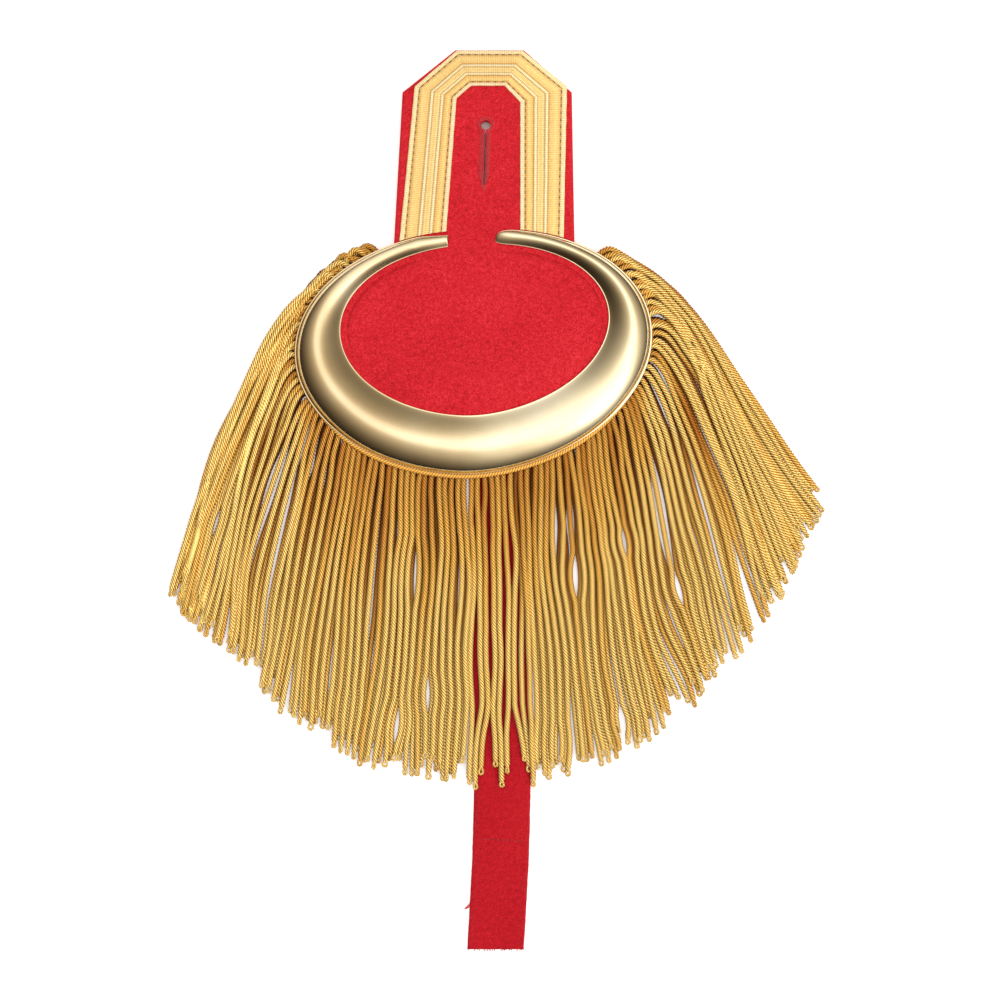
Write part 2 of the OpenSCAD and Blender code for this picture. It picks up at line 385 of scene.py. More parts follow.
@dataclass(frozen=True)
class WovenLace:
    """Flat metal lace, whose bands and cords run along it and whose ribs run across."""

    name: str = "woven_gold_lace"
    bands: Stops = (
        (0.0, "fdeebb"), (0.085, "fff0c0"), (0.115, "c99a55"), (0.15, "f2cd7e"), (0.22, "ffe39a"),
        (0.35, "f7d284"), (0.385, "c8974a"), (0.405, "fffad2"), (0.44, "fffbd6"), (0.465, "d3a458"),
        (0.5, "ffe7a4"), (0.55, "f5d48a"), (0.6, "ffeaa8"), (0.625, "d0a056"), (0.645, "fffbd4"),
        (0.68, "fff8cc"), (0.705, "c8974a"), (0.74, "f8d080"), (0.82, "ffe296"), (0.865, "efc574"),
        (0.89, "c59350"), (0.92, "ffeac2"), (1.0, "fff0c8"),
    )
    # Painted shade in the grooves between the ribs and wires.
    rib_hollow_shade: Stops = ((0.15, "dcb67a"), (0.55, WHITE))
    width_mm: float = 16.0
    cords_per_mm: float = 2.2
    ribs_per_mm: float = 1.55
    rib_bend: float = 2.2
    drift: Grain = Grain(300.0, 2.0, 0.012)
    wires: Grain = Grain(1900.0, 3.0)
    rib_shade: float = 0.3
    wire_shade: float = 0.55
    rib_height: float = 0.8
    cord_height: float = 0.45
    wire_height: float = 0.6
    least_tone: float = 0.9
    tone_gain: float = 0.2
    least_rough: float = 0.3
    rough_gain: float = 0.25
    relief: Relief = Relief(0.00012, 0.8)

    def make(self) -> bpy.types.Material:
        """Builds the material.

        Returns:
            The material.
        """
        sheet = NodeSheet(self.name)
        along, across, _ = sheet.parts(sheet.coords.outputs["UV"])
        drift, wires = sheet.specks(self.drift), sheet.specks(self.wires)
        ribs = sheet.waves(sheet.gather((along, 2 * math.pi * self.ribs_per_mm), (drift, self.rib_bend)))
        cord_turns = 2 * math.pi * self.width_mm * self.cords_per_mm
        cords = sheet.waves(sheet.sums("MULTIPLY", across, cord_turns))
        bands = sheet.ramp(sheet.stray(across, drift, self.drift.weight), self.bands)
        # Painted shade: darker where the ribs and wires dip.
        depth = sheet.gather((ribs, self.rib_shade), (wires, self.wire_shade))
        colour = sheet.shade(bands, sheet.ramp(depth, self.rib_hollow_shade))
        # Painted light and shade: each leg of the lace is made lighter or darker as the light falls on it.
        tone = sheet.sums("MULTIPLY_ADD", sheet.stored("leg"), self.tone_gain, self.least_tone)
        grey = sheet.node("CombineXYZ", {0: tone, 1: tone, 2: tone}).outputs[0]
        sheet.feed("Base Color", sheet.shade(colour, grey))
        height = sheet.gather((ribs, self.rib_height), (cords, self.cord_height), (wires, self.wire_height))
        sheet.feed("Normal", sheet.raise_by(height, self.relief))
        sheet.feed("Roughness", sheet.sums("MULTIPLY_ADD", wires, self.rough_gain, self.least_rough))
        sheet.put(Metallic=0.1, Specular_IOR_Level=0.6, Sheen_Weight=0.1)
        return sheet.material


@dataclass(frozen=True)
class TwistedGold:
    """Gold thread on cords, with painted highlights on the crowns of the plies, painted shade in the grooves
    between them and on the cords' sides, and each strand's own tone with painted shade towards the rim and
    where it runs under other strands.
    """

    name: str = "twisted_gold_cord"
    # Painted highlight on the plies' crowns and painted shade in the grooves between them.
    plies: Stops = ((0.2, "92480e"), (0.46, "ffbf48"), (0.74, "fff29c"))
    # Each strand's own tone, which strays at random, darkened by painted shade near the rim and under other
    # strands.
    tone_and_shade: Stops = ((0.0, "5a2a0e"), (0.2, "bc863e"), (0.5, "f2deb6"), (0.72, WHITE))
    # Painted shade on the cords' sides, darker where the surface faces away from the top.
    sides: Stops = ((0.06, "6a300c"), (0.28, "c88f48"), (0.5, WHITE))
    wires: Grain = Grain(2400.0, 3.0, 0.4)
    least_rough: float = 0.24
    rough_gain: float = 0.3
    relief: Relief = Relief(0.00012, 0.5)

    def make(self) -> bpy.types.Material:
        """Builds the material.

        Returns:
            The material.
        """
        sheet = NodeSheet(self.name)
        wires = sheet.specks(self.wires)
        # The plies' painted highlight and shade, times the strand's tone with painted shade, times the
        # painted shade on the sides.
        crown = sheet.stray(sheet.stored("crown"), wires, self.wires.weight)
        colour = sheet.shade(sheet.ramp(crown, self.plies), sheet.ramp(sheet.stored("shade"), self.tone_and_shade))
        sheet.feed("Base Color", sheet.shade(colour, sheet.ramp(sheet.upright(), self.sides)))
        sheet.feed("Roughness", sheet.sums("MULTIPLY_ADD", wires, self.rough_gain, self.least_rough))
        sheet.feed("Normal", sheet.raise_by(wires, self.relief))
        sheet.put(Metallic=0.2, Specular_IOR_Level=0.35)
        return sheet.material


@dataclass(frozen=True)
class SpunThread:
    """Plain sewing thread with a slight gloss and the twist of its yarn."""

    name: str
    dark: str
    light: str
    yarn: Grain = Grain(3200.0, 3.0)
    relief: Relief = Relief(0.0001, 0.6)

    def make(self) -> bpy.types.Material:
        """Builds the material.

        Returns:
            The material.
        """
        sheet = NodeSheet(self.name)
        yarn = sheet.specks(self.yarn)
        sheet.feed("Base Color", sheet.ramp(yarn, ((0.3, self.dark), (0.7, self.light))))
        sheet.feed("Normal", sheet.raise_by(yarn, self.relief))
        sheet.put(Roughness=0.62, Sheen_Weight=0.3, Specular_IOR_Level=0.35)
        return sheet.material


# Shapes that the pieces share


@dataclass(frozen=True)
class Plan:
    """Lines that the sewn pieces follow, in millimetres from the middle of the crescent."""

    oval_a: float = 64.0
    oval_b: float = 43.6
    arm_lift: float = 0.1
    arm_blend: float = 9.0
    inner_x: float = 0.4
    inner_y: float = 7.9
    inner_a: float = 48.0
    inner_b: float = 30.6
    pad_t: float = 6.2
    strap_t: float = 3.8
    head_y: float = 109.0
    crease_y: float = 40.0
    eyelet: tuple[float, float] = (4.4, 81.9)
    slit_l: float = 20.0
    slit_lean: float = -1.8

    def lift(self, x: float) -> float:
        """Gives how far the right arm is lifted at x."""
        return self.arm_lift * (x + math.sqrt(x * x + self.arm_blend**2)) / 2

    def on_oval(self, deg: float, middle: tuple[float, float], half: tuple[float, float]) -> Vector:
        """Gives a point of an oval whose right arm is lifted.

        Args:
            deg: The angle round the oval.
            middle: The oval's middle.
            half: Its half width and half height.

        Returns:
            The point.
        """
        x = middle[0] + half[0] * cosine(deg)
        return Vector((x, middle[1] + half[1] * sine(deg) + self.lift(x)))

    def rim(self, deg: float, grow: float = 0.0) -> Vector:
        """Gives a point of the crescent's outer edge, or of a line that far outside it."""
        return self.on_oval(deg, (0.0, 0.0), (self.oval_a + grow, self.oval_b + grow))

    def inner_edge(self, deg: float) -> Vector:
        """Gives a point of the crescent's inner edge."""
        return self.on_oval(deg, (self.inner_x, self.inner_y), (self.inner_a, self.inner_b))

    def rim_y(self, x: float, grow: float) -> float:
        """Gives how high on the plan the crescent's upper edge is at x, or a line that far outside it."""
        share = min(1.0, abs(x) / (self.oval_a + grow))
        return self.lift(x) + (self.oval_b + grow) * math.sqrt(1 - share * share)

    def top_z(self, y: float) -> float:
        """Gives the height of the pad and of the strap's sloping top."""
        slope = (self.pad_t - self.strap_t) / (self.head_y - self.crease_y)
        return self.pad_t - max(0.0, y - self.crease_y) * slope

    def inside_field(self, x: float, y: float) -> tuple[float, float]:
        """Measures how far a point lies inside the crescent's inner edge.

        Args:
            x: Its place across.
            y: Its place along.

        Returns:
            The distance from the edge, above 0 inside, and the angle round the oval in degrees.
        """
        tiny = 1e-6
        u = (x - self.inner_x) / self.inner_a
        v = (y - self.lift(x) - self.inner_y) / self.inner_b
        reach = math.hypot(u, v)
        if reach < tiny:
            return self.inner_b, 0.0
        slope = math.hypot(u / self.inner_a, v / self.inner_b) / reach
        return (1 - reach) / slope, math.degrees(math.atan2(v, u)) % 360


@dataclass(frozen=True)
class Ripple:
    """Smooth unevenness: its size in millimetres, how fast it changes across and along, and which it is."""

    size: float
    across: float
    along: float
    which: float

    def at(self, x: float, y: float) -> float:
        """Gives the unevenness at a place."""
        return self.size * noise.noise(Vector((x * self.across, y * self.along, self.which)))


@dataclass(frozen=True)
class Span:
    """A stretch of angles, with the degrees between which it comes in and goes out."""

    rise: tuple[float, float]
    fall: tuple[float, float]

    def share(self, deg: float) -> float:
        """Gives how far an angle belongs to the stretch, from 0 to 1."""
        return ease(deg, *self.rise) * (1 - ease(deg, *self.fall))


class Maker:
    """Small steps that every piece is made with."""

    @staticmethod
    def piece(name: str, bm: Shape, smooth: bool = True) -> Piece:
        """Turns a bmesh, drawn in millimetres, into a piece in metres.

        Args:
            name: The piece's name.
            bm: Its shape, which is freed.
            smooth: Whether its faces are shaded smoothly.

        Returns:
            The piece.
        """
        bmesh.ops.scale(bm, vec=(MM, MM, MM), verts=bm.verts)
        for face in bm.faces:
            face.smooth = smooth
        mesh = bpy.data.meshes.new(name)
        bm.to_mesh(mesh)
        bm.free()
        made = bpy.data.objects.new(name, mesh)
        bpy.context.scene.collection.objects.link(made)
        return made

    @staticmethod
    def grid(along: Sequence[float], across: Sequence[float], place: Callable[[float, float], Vector],
             pattern: Callable[[float, float, float], tuple[float, float]] | None = None) -> Shape:
        """Lays a grid over a surface, facing up.

        Args:
            along: Where its cross lines stand.
            across: Where its long lines stand.
            place: Gives the point at a value along and a value across.
            pattern: Gives the pattern's coordinates from a corner's two values and the face's own one along.

        Returns:
            The shape.
        """
        half = 0.5
        bm = bmesh.new()
        bmesh.ops.create_grid(bm, x_segments=len(along) - 1, y_segments=len(across) - 1, size=half)
        marks: dict[bmesh.types.BMVert, tuple[float, float]] = {}
        for vert in bm.verts:
            u = along[round((vert.co.x + half) * (len(along) - 1))]
            v = across[round((vert.co.y + half) * (len(across) - 1))]
            marks[vert] = (u, v)
        if pattern is not None:
            layer = bm.loops.layers.uv.new("UVMap")
            for face in bm.faces:
                middle = sum(marks[vert][0] for vert in face.verts) / len(face.verts)
                for loop in face.loops:
                    loop[layer].uv = pattern(*marks[loop.vert], middle)
        for vert, (u, v) in marks.items():
            vert.co = place(u, v)
        bmesh.ops.recalc_face_normals(bm, faces=bm.faces)
        if sum(face.normal.z for face in bm.faces) < 0:
            bmesh.ops.reverse_faces(bm, faces=bm.faces)
        return bm

    @staticmethod
    def settle(made: Piece) -> None:
        """Applies a piece's modifiers.

        Args:
            made: The piece.
        """
        graph = bpy.context.evaluated_depsgraph_get()
        old = made.data
        shaped = made.evaluated_get(graph)
        made.data = bpy.data.meshes.new_from_object(shaped, preserve_all_data_layers=True, depsgraph=graph)
        made.data.name = made.name
        made.modifiers.clear()
        bpy.data.meshes.remove(old)

    @staticmethod
    def thicken(made: Piece, thickness: float) -> Piece:
        """Gives a sheet its wall, away from the side that it faces.

        Args:
            made: The sheet.
            thickness: The wall in millimetres.

        Returns:
            The same piece.
        """
        wall = made.modifiers.new("wall", "SOLIDIFY")
        wall.thickness = thickness * MM
        wall.offset = -1.0
        wall.use_even_offset = False
        Maker.settle(made)
        return made

    @staticmethod
    def cut(made: Piece, cutters: Sequence[Piece]) -> None:
        """Cuts holes and takes the cutters away.

        Args:
            made: The piece.
            cutters: Closed shapes of the holes.
        """
        for cutter in cutters:
            hole = made.modifiers.new("hole", "BOOLEAN")
            hole.operation = "DIFFERENCE"
            hole.object = cutter
            hole.solver = "EXACT"
        Maker.settle(made)
        for cutter in cutters:
            bpy.data.objects.remove(cutter)

    @staticmethod
    def dress(made: Piece, finish: bpy.types.Material, slot: Slot, *nodes: str) -> Piece:
        """Finishes a piece, hangs it on the body's empty and hides the parts that it stands for.

        Args:
            made: The piece.
            finish: Its material.
            slot: The record's slot that the material belongs to; not used.
            *nodes: The nodes of the part that it stands for.

        Returns:
            The same piece.
        """
        made.data.materials.clear()
        made.data.materials.append(finish)
        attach(made, BODY)
        if nodes:
            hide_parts(*nodes)
        log.info("%s: %d faces", made.name, len(made.data.polygons))
        return made


@dataclass(frozen=True)
class CordLay:
    """How a cord is laid up: its size in millimetres, its plies and how closely its rings stand."""

    radius: float
    plies: int
    pitch: float
    ring_turn: float
    hollow: float = 0.76

    def section(self) -> Piece:
        """Draws the cord's section as a closed curve.

        Returns:
            The curve.
        """
        line = bpy.data.curves.new("section", "CURVE")
        line.dimensions = "2D"
        count = 2 * self.plies
        path = line.splines.new("POLY")
        path.points.add(count - 1)
        for k, point in enumerate(path.points):
            r = self.radius * (1.0 if k % 2 == 0 else self.hollow) * MM
            turn = 2 * math.pi * k / count
            point.co = (r * math.cos(turn), r * math.sin(turn), 0.0, 1.0)
        path.use_cyclic_u = True
        made = bpy.data.objects.new("section", line)
        bpy.context.scene.collection.objects.link(made)
        return made


@dataclass
class CordRun:
    """One length of cord: the points that it follows, how it is turned, its thin end, and its tone with
    painted shade near the rim and where it runs hidden.
    """

    path: np.ndarray
    shade: float
    phase: float = 0.0
    taper: float = 1.5
    # Painted shade: the length over which it lifts from the rim, the light at the rim, and how dark it is
    # where hidden.
    dim: float = 0.0
    deep: float = 0.25
    hidden: float = 0.0


@dataclass
class CordMaker:
    """Lays twisted cords along their runs and turns them into one mesh."""

    lay: CordLay
    least_rings: int = 4
    end_size: float = 0.45
    # How the painted shade lifts from the rim, and where and over what length it darkens a hidden cord.
    dim_power: float = 1.4
    hidden_at: float = 34.0
    hidden_over: float = 20.0
    tiny: float = 1e-3

    def rings(self, run: CordRun) -> tuple[np.ndarray, np.ndarray, np.ndarray, np.ndarray]:
        """Spaces rings along a run.

        Args:
            run: The run.

        Returns:
            The rings' centres, their turns in radians, their sizes and their tones with painted shade.
        """
        marks = lengths(run.path)
        spacing = abs(self.lay.pitch) * self.lay.ring_turn / 360
        count = max(self.least_rings, int(marks[-1] / spacing) + 1)
        at = np.linspace(0.0, marks[-1], count)
        centres = np.stack([np.interp(at, marks, run.path[:, k]) for k in range(3)], axis=1)
        turns = run.phase + 2 * math.pi * at / self.lay.pitch
        left = np.clip((marks[-1] - at) / max(run.taper, self.tiny), 0.0, 1.0)
        sizes = self.end_size + (1 - self.end_size) * np.sqrt(1 - (1 - left) ** 2)
        # Painted shade: dark at the rim, lifting along the cord, and darker again where the cord runs hidden
        # under others.
        risen = np.clip(at / max(run.dim, self.tiny), 0.0, 1.0) ** self.dim_power
        covered = 1 - run.hidden * bell(at, self.hidden_at, self.hidden_over)
        shades = run.shade * (run.deep + (1 - run.deep) * risen) * covered
        return centres, turns, sizes, shades

    def make(self, name: str, runs: Sequence[CordRun]) -> Piece:
        """Makes one piece of many cords.

        Args:
            name: The piece's name.
            runs: The cords' runs.

        Returns:
            The piece, a mesh that stores how high each point stands on its ply and each cord's shade.
        """
        section = self.lay.section()
        line = bpy.data.curves.new(name, "CURVE")
        line.dimensions = "3D"
        line.twist_mode = "MINIMUM"
        line.bevel_mode = "OBJECT"
        line.bevel_object = section
        shades: list[np.ndarray] = []
        for run in runs:
            centres, turns, sizes, lit = self.rings(run)
            path = line.splines.new("POLY")
            path.points.add(len(centres) - 1)
            flat = np.ones((len(centres), 4), np.float32)
            flat[:, :3] = centres * MM
            path.points.foreach_set("co", flat.ravel())
            path.points.foreach_set("tilt", turns.astype(np.float32))
            path.points.foreach_set("radius", sizes.astype(np.float32))
            shades.append(lit)
        rope = bpy.data.objects.new(name, line)
        bpy.context.scene.collection.objects.link(rope)
        graph = bpy.context.evaluated_depsgraph_get()
        mesh = bpy.data.meshes.new_from_object(rope.evaluated_get(graph), depsgraph=graph)
        mesh.name = name
        bpy.data.objects.remove(rope)
        bpy.data.curves.remove(line)
        bpy.data.objects.remove(section)
        self.mark(mesh, np.concatenate(shades))
        self.close(mesh)
        mesh.polygons.foreach_set("use_smooth", np.ones(len(mesh.polygons), bool))
        made = bpy.data.objects.new(name, mesh)
        bpy.context.scene.collection.objects.link(made)
        return made

    def mark(self, mesh: bpy.types.Mesh, shades: np.ndarray) -> None:
        """Stores on each point whether it is the crown of a ply, and its ring's shade.

        Args:
            mesh: The cords' mesh.
            shades: The rings' shades, in the order in which the rings were laid.
        """
        points = 2 * self.lay.plies
        shade = np.repeat(shades.astype(np.float32), points)
        crown = np.tile((np.arange(points) % 2 == 0).astype(np.float32), len(shades))
        if len(mesh.vertices) != len(crown):
            raise ValueError(f"{mesh.name} has {len(mesh.vertices)} points where its rings have {len(crown)}")
        for key, values in (("crown", crown), ("shade", shade)):
            mesh.attributes.new(key, "FLOAT", "POINT").data.foreach_set("value", values)

    @staticmethod
    def close(mesh: bpy.types.Mesh) -> None:
        """Closes the cords' ends.

        Args:
            mesh: The cords' mesh.
        """
        bm = bmesh.new()
        bm.from_mesh(mesh)
        bmesh.ops.holes_fill(bm, edges=[edge for edge in bm.edges if edge.is_boundary], sides=0)
        if bm.calc_volume(signed=True) < 0:
            bmesh.ops.reverse_faces(bm, faces=bm.faces)
        bm.to_mesh(mesh)
        bm.free()


@dataclass
class Stitches:
    """Many short stitches of thread, gathered in one piece."""

    thread: float
    facets: int = 6
    bm: Shape = field(default_factory=bmesh.new)

    def sew(self, start: Vector, end: Vector) -> None:
        """Adds one stitch.

        Args:
            start: Where it comes up.
            end: Where it goes down.
        """
        along = end - start
        half = self.thread / 2
        turn = along.to_track_quat("X", "Z").to_matrix().to_4x4()
        size = Matrix.Diagonal((along.length / 2 + half, half, half, 1.0))
        lying = Matrix.Rotation(math.pi / 2, 4, "Y")
        matrix = Matrix.Translation((start + end) / 2) @ turn @ size @ lying
        count = self.facets
        bmesh.ops.create_uvsphere(self.bm, u_segments=count, v_segments=count, radius=1.0, matrix=matrix)

    def finish(self, name: str) -> Piece:
        """Makes the piece."""
        return Maker.piece(name, self.bm)


# The pieces


@dataclass
class ClothBoard:
    """The strap and pad covered in felted cloth, with the eyelet, the slit and the seat of the tongue."""

    plan: Plan
    strap_rows: tuple[tuple[float, float, float], ...] = (
        (30.0, -29.2, 36.4), (93.8, -25.5, 35.3), (109.0, -6.5, 18.1),
    )
    pad_in: float = 1.9
    pad_steps: int = 150
    edge_round: float = 1.4
    edge_steps: int = 4
    under_round: float = 0.7
    under_steps: int = 2
    cell: float = 1.1
    field_rise: float = 1.0
    field_edge: tuple[float, float] = (0.2, 5.0)
    dome_rise: float = 0.5
    dome_edge: tuple[float, float] = (4.0, 22.0)
    waves: tuple[Ripple, Ripple] = (Ripple(0.14, 0.06, 0.06, 3.1), Ripple(0.05, 0.3, 0.3, 7.7))
    crease_in: float = 2.4
    crease_depth: float = 1.1
    crease_width: float = 0.34
    crease_least: float = 0.12
    crease_right: Span = Span((-5.0, 20.0), (62.0, 80.0))
    crease_left: Span = Span((108.0, 128.0), (165.0, 200.0))
    crease_below: tuple[float, float] = (325.0, 360.0)
    left_share: float = 0.8
    below_share: float = 0.4
    finer_nets: tuple[tuple[float, int], ...] = ((2.4, 2), (0.9, 1))
    eyelet_r: float = 1.7
    eyelet_steps: int = 40
    slit_w: float = 0.5
    seat_w: float = 21.2
    seat_x: float = 8.4
    seat_y: float = -18.8
    seat_t: float = 1.8
    seat_beyond: float = 2.0
    slack: float = 0.01

    def side_at(self, column: int) -> float:
        """Gives the strap's side where it leaves the pad.

        Args:
            column: Which side, 1 on the left and 2 on the right.

        Returns:
            Its place across.
        """
        y0, y1 = self.strap_rows[0][0], self.strap_rows[1][0]
        share = (self.plan.crease_y - y0) / (y1 - y0)
        return self.strap_rows[0][column] * (1 - share) + self.strap_rows[1][column] * share

    def outline(self) -> list[Vector]:
        """Lists the corners of the strap and points round the pad.

        Returns:
            The points in order.
        """
        low_y, low_left, low_right = self.strap_rows[1]
        top_y, top_left, top_right = self.strap_rows[2]
        corners = ((low_left, low_y), (top_left, top_y), (top_right, top_y), (low_right, low_y))
        a = self.plan.oval_a - self.pad_in
        start = 360 + math.degrees(math.acos(self.side_at(2) / a))
        end = math.degrees(math.acos(self.side_at(1) / a))
        steps = self.pad_steps
        pad = [self.plan.rim(start + (end - start) * k / steps, -self.pad_in) for k in range(steps + 1)]
        return [*(Vector(corner) for corner in corners), *pad]

    def crease(self, deg: float) -> float:
        """Gives how sharp the crease in the cloth is round the field.

        Args:
            deg: The angle round the field.

        Returns:
            A share of its full depth.
        """
        right = self.crease_right.share(deg)
        below = self.below_share * ease(deg, *self.crease_below)
        left = self.left_share * self.crease_left.share(deg)
        sharp = max(right if deg < 180 else below, left)
        return self.crease_least + (1 - self.crease_least) * sharp

    def height(self, x: float, y: float) -> float:
        """Gives the height of the cloth's top, with its padded field, its crease and its slight waves.

        Args:
            x: The place across.
            y: The place along.

        Returns:
            The height.
        """
        depth, deg = self.plan.inside_field(x, y)
        z = self.plan.top_z(y)
        z += self.field_rise * ease(depth, *self.field_edge) + self.dome_rise * ease(depth, *self.dome_edge)
        z -= self.crease_depth * self.crease(deg) * bell(depth, self.crease_in, self.crease_width)
        return z + self.waves[0].at(x, y) + self.waves[1].at(x, y)

    def form(self) -> Shape:
        """Shapes the closed board with rounded edges and a fine net over its top.

        Returns:
            The shape.
        """
        bm = bmesh.new()
        outline = bm.faces.new([bm.verts.new((point.x, point.y, 0.0)) for point in self.outline()])
        raised = bmesh.ops.extrude_face_region(bm, geom=[outline])
        tops = [item for item in raised["geom"] if isinstance(item, bmesh.types.BMVert)]
        for vert in tops:
            vert.co.z = 1.0
        self.slice(bm, Vector((0.0, 1.0, 0.0)), self.plan.crease_y, False)
        for vert in bm.verts:
            if vert.co.z > 0.5:
                vert.co.z = self.plan.top_z(vert.co.y)
        bmesh.ops.recalc_face_normals(bm, faces=bm.faces)
        rims = ((False, self.edge_round, self.edge_steps), (True, self.under_round, self.under_steps))
        for low, size, steps in rims:
            edges = [edge for edge in bm.edges if self.is_rim(edge, low)]
            bmesh.ops.bevel(bm, geom=edges, offset=size, offset_type="OFFSET", segments=steps, profile=0.5,
                            affect="EDGES", material=-1, clamp_overlap=True)
        for axis, normal in enumerate((Vector((1.0, 0.0, 0.0)), Vector((0.0, 1.0, 0.0)))):
            low_end = min(vert.co[axis] for vert in bm.verts)
            high_end = max(vert.co[axis] for vert in bm.verts)
            for k in range(1, int((high_end - low_end) / self.cell) + 1):
                self.slice(bm, normal, low_end + k * self.cell, True)
        self.refine(bm)
        return bm

    @staticmethod
    def is_rim(edge: bmesh.types.BMEdge, low: bool) -> bool:
        """Tells whether an edge runs round one of the board's rims.

        Args:
            edge: The edge.
            low: Whether the lower rim is meant, or else the upper one.

        Returns:
            Whether one of its faces is flat and the other stands.
        """
        ups = [-face.normal.z if low else face.normal.z for face in edge.link_faces]
        if len(ups) != 2:
            return False
        return sum(up > FLAT_NORMAL for up in ups) == 1 and any(abs(up) < SIDE_NORMAL for up in ups)

    @staticmethod
    def slice(bm: Shape, normal: Vector, place: float, top_only: bool) -> None:
        """Cuts the faces along a plane.

        Args:
            bm: The shape.
            normal: The plane's direction.
            place: Its distance from the origin.
            top_only: Whether the underside is left whole.
        """
        faces = [face for face in bm.faces if not top_only or face.normal.z > TOP_NORMAL]
        verts = {vert for face in faces for vert in face.verts}
        edges = {edge for face in faces for edge in face.edges}
        bmesh.ops.bisect_plane(bm, geom=[*verts, *edges, *faces], plane_co=normal * place, plane_no=normal)

    def refine(self, bm: Shape) -> None:
        """Cuts the net finer along the crease round the field.

        Args:
            bm: The shape.
        """
        for reach, cuts in self.finer_nets:
            near = []
            for edge in bm.edges:
                if all(face.normal.z > FLAT_NORMAL for face in edge.link_faces):
                    middle = (edge.verts[0].co + edge.verts[1].co) / 2
                    depth, deg = self.plan.inside_field(middle.x, middle.y)
                    creased = self.crease(deg) > self.crease_least + self.slack
                    if creased and abs(depth - self.crease_in) < reach:
                        near.append(edge)
            bmesh.ops.subdivide_edges(bm, edges=near, cuts=cuts, use_grid_fill=True)

    def shape_top(self, bm: Shape) -> None:
        """Lifts the net to the cloth's real height.

        Args:
            bm: The shape.
        """
        for vert in bm.verts:
            top = self.plan.top_z(vert.co.y)
            if vert.co.z > top - self.edge_round - self.slack:
                full = self.height(vert.co.x, vert.co.y) - top
                vert.co.z += full * ease(vert.co.z, top - self.edge_round, top)

    def holes(self) -> list[Piece]:
        """Makes the cutters of the eyelet, the slit and the tongue's seat.

        Returns:
            The cutters.
        """
        tall = 2 * self.plan.pad_t
        turn = Matrix.Rotation(math.radians(self.plan.slit_lean), 4, "Z")
        at = Matrix.Translation((*self.plan.eyelet, self.plan.pad_t / 2)) @ turn
        r, steps = self.eyelet_r, self.eyelet_steps
        hole = bmesh.new()
        bmesh.ops.create_cone(hole, cap_ends=True, segments=steps, radius1=r, radius2=r, depth=tall,
                              matrix=at)
        length = self.plan.slit_l + r
        low = -self.plan.oval_b - self.seat_beyond
        slit_at = at @ Matrix.Translation((0.0, -length / 2, 0.0))
        seat_at = Matrix.Translation((self.seat_x, (low + self.seat_y) / 2, 0.0))
        slit_size = (self.slit_w, length, tall)
        seat_size = (self.seat_w, self.seat_y - low, 2 * self.seat_t)
        cutters = [hole]
        for place, size in ((slit_at, slit_size), (seat_at, seat_size)):
            cutters.append(bmesh.new())
            bmesh.ops.create_cube(cutters[-1], size=1.0, matrix=place @ Matrix.Diagonal((*size, 1.0)))
        return [Maker.piece(f"hole_{k}", bm, False) for k, bm in enumerate(cutters)]

    def build(self) -> None:
        """Makes the board."""
        bm = self.form()
        self.shape_top(bm)
        board = Maker.piece("cloth_board", bm)
        Maker.cut(board, self.holes())
        board.data.polygons.foreach_set("use_smooth", np.ones(len(board.data.polygons), bool))
        Maker.dress(board, FeltedCloth().make(), Slot.CLOTH, "board")


